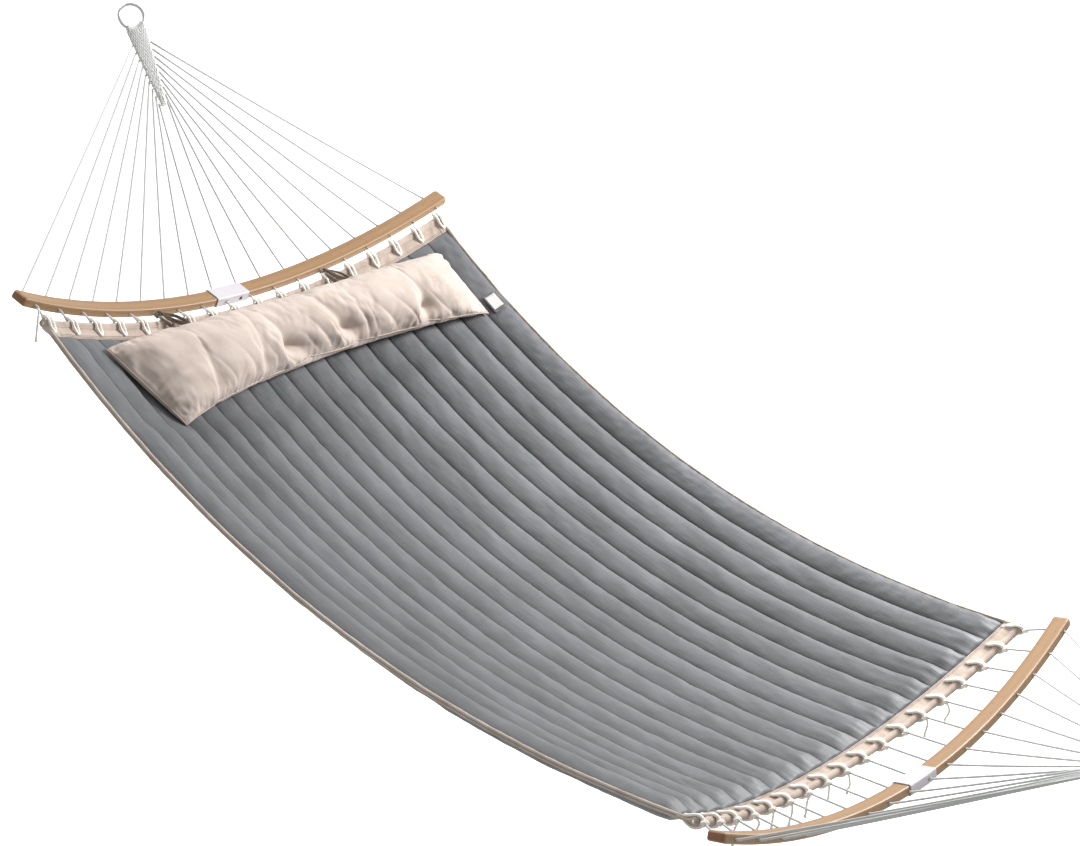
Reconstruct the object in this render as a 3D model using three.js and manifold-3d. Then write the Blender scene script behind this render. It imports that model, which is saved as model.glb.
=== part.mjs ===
// Quilted double hammock hung between two bowed wooden spreader bars.
// Millimetres, +Z up, +X from the head to the foot, +Y to the far side.
// The origin is where the hook bears inside the head ring.

import * as THREE from "three";
import Module from "manifold-3d";

const solids = await Module();
solids.setup();

// Driving dimensions of the bars
const BAR_SPAN = 1910; // from the middle of the head bar to the middle of the foot bar
const BAR_RADIUS = 1720; // of the bow, at the middle of the bar's thickness
const BAR_DEPTH = 38; // along the cord holes
const BAR_THICK = 20;
const BAR_CORNER = 4;
const BAR_MARGIN = 38; // wood past the outermost cord hole
const BAR_END_ROUND = 9;
const BAR_SEGMENT = 92; // longest straight facet of the bow
const HEAD_TILT = 2; // degrees that a bar's cord holes fall towards the bed
const FOOT_TILT = 28;
const HEAD_DROP = 8; // a bar's middle below the height that rings and bed are measured from
const FOOT_DROP = 0;

// Driving dimensions of the sleeve that joins the two halves of a bar
const SLEEVE_LENGTH = 100;
const SLEEVE_SHIFT = 17; // its middle from the bar's middle
const SLEEVE_WALL = 2;
const SCREW_HEAD = 9;
const SCREW_HEAD_HEIGHT = 1.1;
const SCREW_SHANK = 4;
const SCREW_LENGTH = 16;

// Driving dimensions of the cords
const CORD_COUNT = 18; // at each end of the bed
const CORD_PITCH = 77; // between cord holes, along the bar
const LOOP_PITCH = 75; // between the loops, along the hem
const CORD_DIAMETER = 5;
const CORD_HOLE_PLAY = 1.1; // on the diameter
const LOOP_DIAMETER = 7; // the doubled cord that goes round the hem
const KNOT_DIAMETER = 13;
const CORD_STRAIGHT = 6; // the cord keeps the hole's line this far past the wood
const CORD_SIDES = 6;
const TAIL_LENGTH = 110; // loose end of the outermost near cord at the head

// Driving dimensions of the rings and clews
const RING_OUTER = 64;
const RING_WIRE = 7;
const RING_SIDES = 8; // facets round the wire
const RING_STEPS = 24; // facets round the ring
const RING_REACH = 487; // ring centre from the bar's middle, away from the bed
const RING_RISE = 435; // ring centre above the bar's middle
const CLEW_TURN = 25; // degrees that ring and clew are turned about the line of pull
const CLEW_LENGTH = 213; // from the ring centre to the tip
const CLEW_TOP_WIDTH = 43;
const CLEW_TIP_WIDTH = 13;
const CLEW_TOP_THICK = 17;
const CLEW_TIP_THICK = 9;
const CLEW_SIDES = 10;
const CLEW_FIRST_CORD = 65; // outermost cord, from the ring centre
const CLEW_EYE_ANGLE = 45; // degrees of the ring on each side that the eye covers
const CLEW_EYE_WALL = 3;
const RING_SWING = 22; // degrees of lean that the eye leaves room for

// Driving dimensions of the bed
const BED_SAG = 189; // drop of the bed's middle line below the bars
const HEM_MARGIN = 12; // cloth past the outermost loop
const EDGE_TWIST = 17; // near edge below the bow at the head bar, and over it at the foot bar
const HEAD_STANDOFF = 42; // hem edge from the middle of the head bar
const FOOT_STANDOFF = 120;
const HEM_WIDTH = 45;
const HEM_THICK = 4;
const HEM_ROPE = 8;
const HEM_ROLL_WALL = 3; // cloth round the hem rope
const HEM_HOLE_INSET = 30; // cord hole from the hem's edge
const CHANNEL_COUNT = 19;
const QUILT_CROWN = 24; // thickness along the middle of a channel
const QUILT_SEAM = 5; // thickness at a sewn line
const QUILT_STEPS = 9; // facets along the bed
const CHANNEL_STEPS = 3; // facets across a channel
const PIPING_WIDTH = 9;
const PIPING_THICK = 7;

// Driving dimensions of the pillow, its ties and the label
const PILLOW_LENGTH = 1100; // along the back seam
const PILLOW_NEAR_SLANT = 66; // how far the front corner of the near end is drawn in
const PILLOW_NEAR_DEPTH = 213;
const PILLOW_FAR_DEPTH = 194;
const PILLOW_THICK = 100;
const PILLOW_EDGE = 10; // thickness of the sewn ends
const PILLOW_BACK = 125; // back corners from the middle of the head bar
const PILLOW_BACK_BOW = 46; // how far the back seam stands out towards the bar between them
const PILLOW_FRONT_DRAW = 84; // how far the front seam draws in between its corners
const PILLOW_SHIFT = 18; // its middle towards the far side
const PILLOW_SEAM_HEIGHT = 0.36; // share of the thickness at which the long seams run
const TIE_NEAR_CORD = 6; // the cords, counted from the near side, that hold the ties
const TIE_FAR_CORD = 13;
const TIE_DIAMETER = 4;
const LABEL_SIZE = 46;
const LABEL_THICK = 1;
const LABEL_FROM_BAR = 295;

// Clearance between pieces that touch
const GAP = 0.35;

const HEAD_END = {
  name: "head",
  tilt: HEAD_TILT,
  drop: HEAD_DROP,
  standoff: HEAD_STANDOFF,
  sides: ["near", "far"],
  near: -1,
};
const FOOT_END = {
  name: "foot",
  tilt: FOOT_TILT,
  drop: FOOT_DROP,
  standoff: FOOT_STANDOFF,
  sides: ["far", "near"],
  near: 1,
};

const BAR_LENGTH = (CORD_COUNT - 1) * CORD_PITCH + 2 * BAR_MARGIN;
const BED_WIDTH = (CORD_COUNT - 1) * LOOP_PITCH + 2 * HEM_MARGIN;
const CORD_RADIUS = CORD_DIAMETER / 2;
const LOOP_RADIUS = LOOP_DIAMETER / 2;
const CORD_HOLE_RADIUS = (CORD_DIAMETER + CORD_HOLE_PLAY) / 2;
const HEM_BORE = HEM_ROPE / 2 + 2 * GAP;
const HEM_ROLL = HEM_BORE + HEM_ROLL_WALL;
const RING_MEAN = (RING_OUTER - RING_WIRE) / 2;
const WIRE_CORNER = RING_WIRE / 2 / Math.cos(Math.PI / RING_SIDES);
const CLEW_AXIS = new THREE.Vector3(RING_REACH, 0, -RING_RISE).normalize();

const COLOURS = {
  bamboo: { color: 0xc99a6a, roughness: 0.5, metalness: 0 },
  sleeve: { color: 0xe8e6ea, roughness: 0.45, metalness: 0 },
  screw: { color: 0x3c3a3a, roughness: 0.4, metalness: 0.9 },
  steel: { color: 0x8f8f90, roughness: 0.3, metalness: 1 },
  cord: { color: 0xd9dad7, roughness: 0.85, metalness: 0 },
  hem: { color: 0xc7b9ab, roughness: 0.9, metalness: 0 },
  rope: { color: 0xe4ddd0, roughness: 0.9, metalness: 0 },
  quilt: { color: 0x8d9092, roughness: 0.85, metalness: 0 },
  piping: { color: 0xd8cdc0, roughness: 0.9, metalness: 0 },
  pillow: { color: 0xd9cfc3, roughness: 0.9, metalness: 0 },
  ribbon: { color: 0x7d7064, roughness: 0.9, metalness: 0 },
  label: { color: 0x55585a, roughness: 0.8, metalness: 0 },
};

function vector(x, y, z) {
  return new THREE.Vector3(x, y, z);
}

function radians(degrees) {
  return THREE.MathUtils.degToRad(degrees);
}

function range(count, make) {
  return Array.from({ length: count }, (unused, index) => make(index));
}

function named(name, finish, geometry) {
  const mesh = new THREE.Mesh(geometry, new THREE.MeshStandardMaterial(COLOURS[finish]));
  mesh.name = name;
  return mesh;
}

// Solid through a row of rings with equal point counts. The rings run so that their points
// turn anticlockwise when seen from the end of the row. section is the flat outline that
// the two end faces are cut by, and is needed only where it isn't convex.
function loft(rings, section = null) {
  const size = rings[0].length;
  const positions = rings.flat().flatMap((point) => [point.x, point.y, point.z]);
  const index = [];
  for (let row = 0; row + 1 < rings.length; row += 1) {
    for (let step = 0; step < size; step += 1) {
      const next = (step + 1) % size;
      const low = row * size;
      const high = low + size;
      index.push(low + step, low + next, high + next, low + step, high + next, high + step);
    }
  }
  const faces = section
    ? THREE.ShapeUtils.triangulateShape(section, [])
    : range(size - 2, (step) => [0, step + 1, step + 2]);
  const last = (rings.length - 1) * size;
  for (const [a, b, c] of faces) {
    index.push(c, b, a, last + a, last + b, last + c);
  }
  const geometry = new THREE.BufferGeometry();
  geometry.setAttribute("position", new THREE.Float32BufferAttribute(positions, 3));
  geometry.setIndex(index);
  return geometry;
}

function toSolid(geometry) {
  const vertProperties = Float32Array.from(geometry.getAttribute("position").array);
  const triVerts = Uint32Array.from(geometry.getIndex().array);
  return new solids.Manifold(new solids.Mesh({ numProp: 3, vertProperties, triVerts }));
}

function toGeometry(solid) {
  const mesh = solid.getMesh();
  const geometry = new THREE.BufferGeometry();
  geometry.setAttribute("position", new THREE.Float32BufferAttribute(mesh.vertProperties, 3));
  geometry.setIndex(Array.from(mesh.triVerts));
  return geometry;
}

function cut(geometry, tools) {
  const whole = tools.reduce((solid, tool) => solid.subtract(toSolid(tool)), toSolid(geometry));
  return toGeometry(whole);
}

// Regular polygon of points round a centre, in the plane of two unit vectors.
function polygon(centre, across, up, radius, sides, stretch = 1) {
  return range(sides, (step) => {
    const angle = (2 * Math.PI * (step + 0.5)) / sides;
    return centre
      .clone()
      .addScaledVector(across, radius * Math.cos(angle))
      .addScaledVector(up, radius * stretch * Math.sin(angle));
  });
}

// Straight prism between two points.
function prism(from, to, radius, sides) {
  const along = to.clone().sub(from).normalize();
  const hint = Math.abs(along.z) > 0.8 ? vector(0, 1, 0) : vector(0, 0, 1);
  const across = hint.clone().cross(along).normalize();
  const up = along.clone().cross(across);
  return loft([polygon(from, across, up, radius, sides), polygon(to, across, up, radius, sides)]);
}

// Tube of changing radius along a path. Its section is carried along without twisting.
function tube(path, radii, sides) {
  const ways = path.slice(1).map((point, index) => point.clone().sub(path[index]).normalize());
  let across = null;
  const rings = path.map((point, index) => {
    const before = ways[Math.max(index - 1, 0)];
    const after = ways[Math.min(index, ways.length - 1)];
    const along = before.clone().add(after).normalize();
    const hint = across ?? (Math.abs(along.y) > 0.9 ? vector(0, 0, 1) : vector(0, 1, 0));
    across = hint.clone().addScaledVector(along, -hint.dot(along)).normalize();
    return polygon(point, across, along.clone().cross(across), radii[index], sides);
  });
  return loft(rings);
}

// Bed surface. u is the distance from the bar's middle towards the bed, s the distance
// along the bow from the middle line, and h the height over the middle of the cloth. The
// near edge leaves the bow a little, downwards at the head and upwards at the foot. near is
// -1 where the near side has the low s, and 1 in the foot's own frame, which is turned round.
function bedSlope(u) {
  return (4 * BED_SAG * ((2 * u) / BAR_SPAN - 1)) / BAR_SPAN;
}

function bedPoint(u, s, h, near = -1) {
  const share = (2 * u) / BAR_SPAN - 1;
  const turn = s / BAR_RADIUS;
  const drop = -BED_SAG * (1 - share * share);
  const lengthwise = vector(1, 0, bedSlope(u));
  const crosswise = vector(0, Math.cos(turn), Math.sin(turn));
  const normal = lengthwise.cross(crosswise).normalize();
  const twist = -near * EDGE_TWIST * share * Math.max(0, (2 * near * s) / BED_WIDTH) ** 3;
  const rise = BAR_RADIUS * (1 - Math.cos(turn)) + twist;
  return vector(u, BAR_RADIUS * Math.sin(turn), drop + rise).addScaledVector(normal, h);
}

// Distance from the bar's middle of a place so far along the cloth from another.
function alongBed(u, distance) {
  return u + distance / Math.hypot(1, bedSlope(u + distance / 2));
}

// Places along the bow of the cords: their holes in the bar and their loops on the hem.
const HOLE_STATIONS = range(CORD_COUNT, (index) => (index - (CORD_COUNT - 1) / 2) * CORD_PITCH);
const LOOP_STATIONS = range(CORD_COUNT, (index) => (index - (CORD_COUNT - 1) / 2) * LOOP_PITCH);
const HEM_STATIONS = [-BED_WIDTH / 2, ...LOOP_STATIONS, BED_WIDTH / 2];

// Bars
function barFrame(tilt, drop) {
  const hole = vector(Math.cos(radians(tilt)), 0, -Math.sin(radians(tilt)));
  const up = vector(Math.sin(radians(tilt)), 0, Math.cos(radians(tilt)));
  const middle = (s) => {
    const turn = s / BAR_RADIUS;
    const rise = BAR_RADIUS * (1 - Math.cos(turn));
    return vector(0, BAR_RADIUS * Math.sin(turn), -drop).addScaledVector(up, rise);
  };
  const outward = (s) => {
    const turn = s / BAR_RADIUS;
    return up.clone().multiplyScalar(Math.cos(turn)).add(vector(0, -Math.sin(turn), 0));
  };
  return { hole, middle, outward };
}

// Section of a bar: a rectangle with its corners taken off.
function barSection(frame, s, depth, thick, corner) {
  const halfDepth = depth / 2;
  const halfThick = thick / 2;
  const corners = [
    [halfDepth, halfThick - corner],
    [halfDepth - corner, halfThick],
    [corner - halfDepth, halfThick],
    [-halfDepth, halfThick - corner],
    [-halfDepth, corner - halfThick],
    [corner - halfDepth, -halfThick],
    [halfDepth - corner, -halfThick],
    [halfDepth, corner - halfThick],
  ];
  const centre = frame.middle(s);
  return corners.map(([along, over]) =>
    centre.clone().addScaledVector(frame.hole, along).addScaledVector(frame.outward(s), over),
  );
}

// The loft wants its rings from low to high s seen against +Y, so the order is set here.
function barSolid(frame, stations, sizeAt) {
  const ordered = [...stations].sort((a, b) => b - a);
  return loft(ordered.map((s) => barSection(frame, s, ...sizeAt(s))));
}

function sleeveStations() {
  const middle = -SLEEVE_SHIFT;
  return [middle - SLEEVE_LENGTH / 2, middle, middle + SLEEVE_LENGTH / 2];
}

function screwStation() {
  const [, middle, end] = sleeveStations();
  return (middle + end) / 2;
}

function cordHoles(frame, low, high, reach) {
  return HOLE_STATIONS.filter((s) => s > low && s < high).map((s) => {
    const from = frame.middle(s).addScaledVector(frame.hole, -reach);
    const to = frame.middle(s).addScaledVector(frame.hole, reach);
    return prism(from, to, CORD_HOLE_RADIUS / Math.cos(Math.PI / CORD_SIDES), CORD_SIDES);
  });
}

function screwPoint(frame, depth) {
  const face = BAR_DEPTH / 2 + GAP + SLEEVE_WALL;
  return frame.middle(screwStation()).addScaledVector(frame.hole, face - depth);
}

function barHalf(frame, side) {
  const [low, middle, high] = sleeveStations();
  const start = side < 0 ? low : high;
  const end = (side * BAR_LENGTH) / 2;
  const shoulder = end - side * BAR_END_ROUND;
  const steps = Math.max(1, Math.ceil(Math.abs(shoulder - start) / BAR_SEGMENT));
  const bow = range(steps + 1, (step) => start + ((shoulder - start) * step) / steps);
  const stations = [middle + side * GAP, ...bow, end];
  const inset = BAR_END_ROUND * 0.6;
  const sizeAt = (s) =>
    s === end
      ? [BAR_DEPTH - inset, BAR_THICK - inset, BAR_CORNER]
      : [BAR_DEPTH, BAR_THICK, BAR_CORNER];
  const tools = cordHoles(frame, Math.min(middle, end), Math.max(middle, end), BAR_DEPTH);
  if (side > 0) {
    const bottom = SLEEVE_WALL + SCREW_LENGTH + GAP;
    tools.push(prism(screwPoint(frame, 0), screwPoint(frame, bottom), SCREW_SHANK / 2 + GAP, 8));
  }
  return cut(barSolid(frame, stations, sizeAt), tools);
}

function sleeve(frame) {
  const stations = sleeveStations();
  const inner = [BAR_DEPTH + 2 * GAP, BAR_THICK + 2 * GAP, BAR_CORNER];
  const outer = inner.map((size) => size + 2 * SLEEVE_WALL);
  outer[2] = BAR_CORNER + SLEEVE_WALL * 0.6;
  const [low, middle, high] = stations;
  const bore = [low - 1, low, middle, high, high + 1];
  const screwTool = prism(
    screwPoint(frame, -1),
    screwPoint(frame, SLEEVE_WALL + 2 * GAP),
    SCREW_HEAD / 2 + GAP,
    12,
  );
  const tools = [
    barSolid(frame, bore, () => inner),
    ...cordHoles(frame, low, high, BAR_DEPTH),
    screwTool,
  ];
  return cut(barSolid(frame, stations, () => outer), tools);
}

// A countersunk screw seen as a flat head in its recess, with its shank in the wood.
function screw(frame) {
  const head = SLEEVE_WALL - SCREW_HEAD_HEIGHT;
  const profile = [
    [0, 0],
    [SCREW_HEAD / 2, 0],
    [SCREW_HEAD / 2, SCREW_HEAD_HEIGHT],
    [SCREW_SHANK / 2, SCREW_HEAD_HEIGHT],
    [SCREW_SHANK / 2, SCREW_LENGTH - SCREW_SHANK / 2],
    [0, SCREW_LENGTH],
  ];
  const along = frame.hole.clone().negate();
  const across = vector(0, 1, 0);
  const up = along.clone().cross(across).normalize();
  const rings = profile.map(([radius, depth]) =>
    polygon(screwPoint(frame, head + depth), across, up, Math.max(radius, 0.4), 8),
  );
  return loft(rings.slice(1));
}

// Rings and clews, in a frame whose +X is the line of pull and whose origin is the ring centre
function clewPlacement() {
  const fan = CLEW_AXIS.clone().cross(vector(0, 1, 0)).normalize();
  const turn = radians(CLEW_TURN);
  const across = vector(0, Math.cos(turn), 0).addScaledVector(fan, Math.sin(turn));
  const normal = CLEW_AXIS.clone().cross(across).normalize();
  const matrix = new THREE.Matrix4().makeBasis(CLEW_AXIS, across, normal);
  return matrix.setPosition(-RING_REACH, 0, RING_RISE);
}

// The wire's flats and the ring's flats lie at the nominal radii, so that a hook bears on one.
function hangingRing() {
  const stretch = 1 / Math.cos(Math.PI / RING_STEPS);
  const profile = range(RING_SIDES + 1, (step) => {
    const angle = (2 * Math.PI * (step + 0.5)) / RING_SIDES;
    const radius = (RING_MEAN + WIRE_CORNER * Math.cos(angle)) * stretch;
    return new THREE.Vector2(radius, WIRE_CORNER * Math.sin(angle));
  });
  const ring = new THREE.LatheGeometry(profile, RING_STEPS, Math.PI / 2 + Math.PI / RING_STEPS);
  return ring.rotateX(Math.PI / 2);
}

function eyeRod(halfRadial, halfOver, angle) {
  const steps = 6;
  const rings = range(steps + 1, (step) => {
    const turn = radians(angle) * ((2 * step) / steps - 1);
    const radial = vector(Math.cos(turn), Math.sin(turn), 0);
    const centre = radial.clone().multiplyScalar(RING_MEAN + GAP);
    return polygon(centre, vector(0, 0, 1), radial, halfOver, CLEW_SIDES, halfRadial / halfOver);
  });
  return loft(rings);
}

function clewHalfWidth(place) {
  const share = (place - RING_MEAN) / (CLEW_LENGTH - RING_MEAN);
  return THREE.MathUtils.lerp(CLEW_TOP_WIDTH, CLEW_TIP_WIDTH, share) / 2;
}

function clewHalfThick(place) {
  const share = (place - RING_MEAN) / (CLEW_LENGTH - RING_MEAN);
  return THREE.MathUtils.lerp(CLEW_TOP_THICK, CLEW_TIP_THICK, share) / 2;
}

function clew() {
  const lean = RING_MEAN * (1 - Math.cos(radians(CLEW_EYE_ANGLE)));
  const facet = Math.cos(Math.PI / CLEW_SIDES);
  const boreRadial = (WIRE_CORNER + GAP + lean * (1 - Math.cos(radians(RING_SWING)))) / facet;
  const boreOver = (WIRE_CORNER + GAP + lean * Math.sin(radians(RING_SWING))) / facet;
  const wallRadial = boreRadial + CLEW_EYE_WALL;
  const wallOver = boreOver + CLEW_EYE_WALL;
  const middle = (CLEW_FIRST_CORD + CLEW_LENGTH) / 2;
  const places = [RING_MEAN + RING_WIRE / 2, CLEW_FIRST_CORD, middle, CLEW_LENGTH];
  const band = loft(
    places.map((place) => {
      const width = clewHalfWidth(place);
      const thick = clewHalfThick(place) / width;
      const centre = vector(place, 0, 0);
      return polygon(centre, vector(0, 1, 0), vector(0, 0, 1), width / facet, CLEW_SIDES, thick);
    }),
  );
  const eye = toSolid(eyeRod(wallRadial, wallOver, CLEW_EYE_ANGLE));
  const bore = toSolid(eyeRod(boreRadial, boreOver, CLEW_EYE_ANGLE + 6));
  return toGeometry(toSolid(band).add(eye).subtract(bore));
}

function clewCordPlace(index) {
  const fromEdge = Math.min(index, CORD_COUNT - 1 - index);
  const steps = CORD_COUNT / 2 - 0.5;
  return CLEW_FIRST_CORD + ((CLEW_LENGTH - CLEW_FIRST_CORD) * fromEdge) / steps;
}

// Cords
function clewCordStart(index, placement) {
  const side = index < CORD_COUNT / 2 ? -1 : 1;
  const place = clewCordPlace(index);
  const out = clewHalfWidth(place) + CORD_RADIUS + GAP;
  return vector(place, side * out, 0).applyMatrix4(placement);
}

// The loop goes over the hem's roll, down its hole in the hem and back below to the knot.
function hemLoop(end, s) {
  const roll = alongBed(end.standoff, HEM_ROLL);
  const hole = alongBed(end.standoff, HEM_HOLE_INSET);
  const point = (u, h) => bedPoint(u, s, h, end.near);
  const clear = (HEM_ROLL + LOOP_RADIUS + GAP) / Math.cos(radians(30)) + 2 * GAP;
  const around = (angle) =>
    point(roll + clear * Math.cos(radians(angle)), clear * Math.sin(radians(angle)));
  const over = HEM_THICK / 2 + LOOP_RADIUS + 2 * GAP;
  return [
    around(125),
    around(65),
    point(hole, over),
    point(hole, -over),
    around(-65),
    around(-125),
  ];
}

// The stretch between bar and knot runs from one point to the other.
function cordLanding(frame, end, index) {
  const reach = BAR_DEPTH / 2 + CORD_STRAIGHT;
  const leave = frame.middle(HOLE_STATIONS[index]).addScaledVector(frame.hole, reach);
  const knotHalf = KNOT_DIAMETER / 2;
  const place = end.standoff - knotHalf - 2 * GAP;
  const knot = bedPoint(place, LOOP_STATIONS[index], knotHalf / 3, end.near);
  return { leave, knot };
}

function cord(frame, end, index, placement, tail) {
  const reach = BAR_DEPTH / 2 + CORD_STRAIGHT;
  const knotHalf = KNOT_DIAMETER / 2;
  const { leave, knot } = cordLanding(frame, end, index);
  const back = leave.clone().sub(knot).setLength(knotHalf);
  const loop = hemLoop(end, LOOP_STATIONS[index]);
  const path = [
    clewCordStart(index, placement),
    frame.middle(HOLE_STATIONS[index]).addScaledVector(frame.hole, -reach),
    leave,
    knot.clone().add(back),
    knot,
    ...loop,
  ];
  const radii = [
    CORD_RADIUS,
    CORD_RADIUS,
    CORD_RADIUS,
    CORD_RADIUS,
    knotHalf,
    ...loop.map(() => LOOP_RADIUS),
  ];
  if (tail > 0) {
    const last = path.at(-1);
    path.push(last.clone().add(vector(-LOOP_DIAMETER, 0, -KNOT_DIAMETER)));
    path.push(last.clone().add(vector(-LOOP_DIAMETER, 0, -tail)));
    radii.push(CORD_RADIUS, CORD_RADIUS);
  }
  return tube(path, radii, CORD_SIDES);
}

// Hem bands and hem ropes
function hemSection() {
  const half = HEM_THICK / 2;
  const join = HEM_ROLL + Math.sqrt(HEM_ROLL * HEM_ROLL - half * half);
  const roll = range(6, (step) => {
    const angle = radians(64 + (step * 232) / 5);
    return [HEM_ROLL + HEM_ROLL * Math.cos(angle), HEM_ROLL * Math.sin(angle)];
  });
  return [[HEM_WIDTH, -half], [HEM_WIDTH, half], [join, half], ...roll, [join, -half]];
}

function hemBand(end) {
  const section = hemSection();
  const flat = section.map(([along, over]) => new THREE.Vector2(along, over));
  const point = (u, s, h) => bedPoint(u, s, h, end.near);
  const place = (s) => section.map(([along, over]) => point(alongBed(end.standoff, along), s, over));
  const ordered = [...HEM_STATIONS].reverse();
  const centre = alongBed(end.standoff, HEM_ROLL);
  const ends = [ordered[0] + 1, ...ordered.slice(1, -1), ordered.at(-1) - 1];
  const bore = loft(ends.map((s) => ropeRing(end, centre, s, HEM_BORE)));
  const hole = alongBed(end.standoff, HEM_HOLE_INSET);
  const holeRadius = (LOOP_RADIUS + 2 * GAP) / Math.cos(Math.PI / CORD_SIDES);
  const holes = LOOP_STATIONS.map((s) =>
    prism(point(hole, s, -HEM_THICK), point(hole, s, HEM_THICK), holeRadius, CORD_SIDES),
  );
  return cut(loft(ordered.map(place), flat), [bore, ...holes]);
}

function ropeRing(end, u, s, radius) {
  return range(CORD_SIDES, (step) => {
    const angle = (2 * Math.PI * step) / CORD_SIDES;
    return bedPoint(u + radius * Math.cos(angle), s, radius * Math.sin(angle), end.near);
  });
}

function hemRope(end) {
  const centre = alongBed(end.standoff, HEM_ROLL);
  return loft([...HEM_STATIONS].reverse().map((s) => ropeRing(end, centre, s, HEM_ROPE / 2)));
}

// Quilted bed
const QUILT_HALF = BED_WIDTH / 2 - PIPING_WIDTH - GAP;
const QUILT_HEAD = alongBed(HEAD_STANDOFF, HEM_WIDTH + GAP);
const QUILT_FOOT = BAR_SPAN - alongBed(FOOT_STANDOFF, HEM_WIDTH + GAP);

// The middle of a facet stands this far over the bed's true curve.
const FACET_RISE = BED_SAG * ((QUILT_FOOT - QUILT_HEAD) / QUILT_STEPS / BAR_SPAN) ** 2;

function quilt() {
  const samples = CHANNEL_STEPS * CHANNEL_COUNT;
  const half = (step) => (step % CHANNEL_STEPS === 0 ? QUILT_SEAM : QUILT_CROWN) / 2;
  const place = (step) => QUILT_HALF * ((2 * step) / samples - 1);
  const rows = range(QUILT_STEPS + 1, (row) => {
    const u = THREE.MathUtils.lerp(QUILT_HEAD, QUILT_FOOT, row / QUILT_STEPS);
    const bottom = range(samples + 1, (step) => bedPoint(u, place(step), -half(step)));
    const top = range(samples + 1, (step) => bedPoint(u, place(samples - step), half(samples - step)));
    return [...bottom, ...top];
  });
  const size = rows[0].length;
  const geometry = loft(rows);
  const index = Array.from(geometry.getIndex().array).slice(0, 6 * size * QUILT_STEPS);
  const last = QUILT_STEPS * size;
  for (let step = 0; step < samples; step += 1) {
    const over = size - 1 - step;
    index.push(step + 1, step, over, step + 1, over, over - 1);
    index.push(last + step, last + step + 1, last + over, last + step + 1, last + over - 1, last + over);
  }
  geometry.setIndex(index);
  return geometry;
}

function piping(side) {
  const place = side * (BED_WIDTH / 2 - PIPING_WIDTH / 2);
  const half = PIPING_WIDTH / 2;
  const over = PIPING_THICK / 2;
  const rings = range(QUILT_STEPS + 1, (row) => {
    const u = THREE.MathUtils.lerp(QUILT_HEAD, QUILT_FOOT, row / QUILT_STEPS);
    return range(CORD_SIDES, (step) => {
      const angle = (2 * Math.PI * step) / CORD_SIDES;
      return bedPoint(u, place + half * Math.cos(angle), over * Math.sin(angle));
    });
  });
  return loft(rings);
}

// Pillow
const PILLOW_BASE = QUILT_CROWN / 2 + FACET_RISE + GAP;

function pillowShare(s) {
  return (s - PILLOW_SHIFT) / (PILLOW_LENGTH / 2);
}

function pillowThick(share) {
  const swell = Math.pow(1 - Math.pow(Math.abs(share), 3.2), 0.55);
  return THREE.MathUtils.lerp(PILLOW_EDGE, PILLOW_THICK, swell);
}

// Distances of the two long seams from the middle of the head bar. The back seam bows out
// between its corners and the front seam draws in.
function pillowSeams(share) {
  const bow = 1 - share ** 2;
  const depth = THREE.MathUtils.lerp(PILLOW_NEAR_DEPTH, PILLOW_FAR_DEPTH, (1 + share) / 2);
  const back = PILLOW_BACK - PILLOW_BACK_BOW * bow;
  const front = alongBed(PILLOW_BACK, depth) - PILLOW_FRONT_DRAW * bow;
  return { back, front };
}

function pillowSeamHeight(thick) {
  return PILLOW_BASE + PILLOW_SEAM_HEIGHT * thick;
}

function pillow() {
  const sides = 14;
  const steps = 16;
  const rings = range(steps + 1, (step) => {
    const share = Math.sin((Math.PI / 2) * (1 - (2 * step) / steps));
    const thick = pillowThick(share);
    const seams = pillowSeams(share);
    const seam = pillowSeamHeight(thick);
    const back = PILLOW_SHIFT + (share * PILLOW_LENGTH) / 2;
    return range(sides, (point) => {
      const angle = (2 * Math.PI * point) / sides;
      const rise = Math.sin(angle);
      const over = rise > 0 ? (thick + PILLOW_BASE - seam) * Math.pow(rise, 0.8) : 0;
      const under = rise < 0 ? (seam - PILLOW_BASE) * Math.pow(-rise, 0.5) : 0;
      const across = (1 + Math.cos(angle)) / 2;
      const along = THREE.MathUtils.lerp(seams.back, seams.front, across);
      const s = back + (PILLOW_NEAR_SLANT * across * (1 - share)) / 2;
      return bedPoint(along, s, seam + over - under);
    });
  });
  return loft(rings);
}

// Each tie is knotted round a cord between bar and hem, and sewn to the pillow's back seam.
function pillowTie(frame, index) {
  const radius = TIE_DIAMETER / 2;
  const round = CORD_RADIUS + radius + 3 * GAP;
  const { leave, knot } = cordLanding(frame, HEAD_END, index);
  const hold = leave.clone().lerp(knot, 0.3);
  const aside = knot.clone().sub(leave).cross(vector(0, 0, 1)).normalize();
  const square = aside.clone().cross(knot.clone().sub(leave)).normalize();
  const beside = LOOP_STATIONS[index] + KNOT_DIAMETER / 2 + TIE_DIAMETER + 4 * GAP;
  const seam = pillowSeamHeight(pillowThick(pillowShare(beside)));
  const hemTop = HEM_ROLL + radius + 2 * GAP;
  const { back } = pillowSeams(pillowShare(beside));
  const around = (across, over) =>
    hold.clone().addScaledVector(aside, -round * across).addScaledVector(square, round * over);
  const path = [
    around(0.5, -1),
    around(-1, -0.5),
    around(-1, 0.5),
    around(0.5, 1),
    bedPoint(alongBed(HEAD_STANDOFF, 0), beside, hemTop + round),
    bedPoint(alongBed(HEAD_STANDOFF, HEM_ROLL), beside, seam),
    bedPoint(back - 4 * GAP, beside, seam),
  ];
  return tube(path, path.map(() => radius), CORD_SIDES);
}

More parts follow.
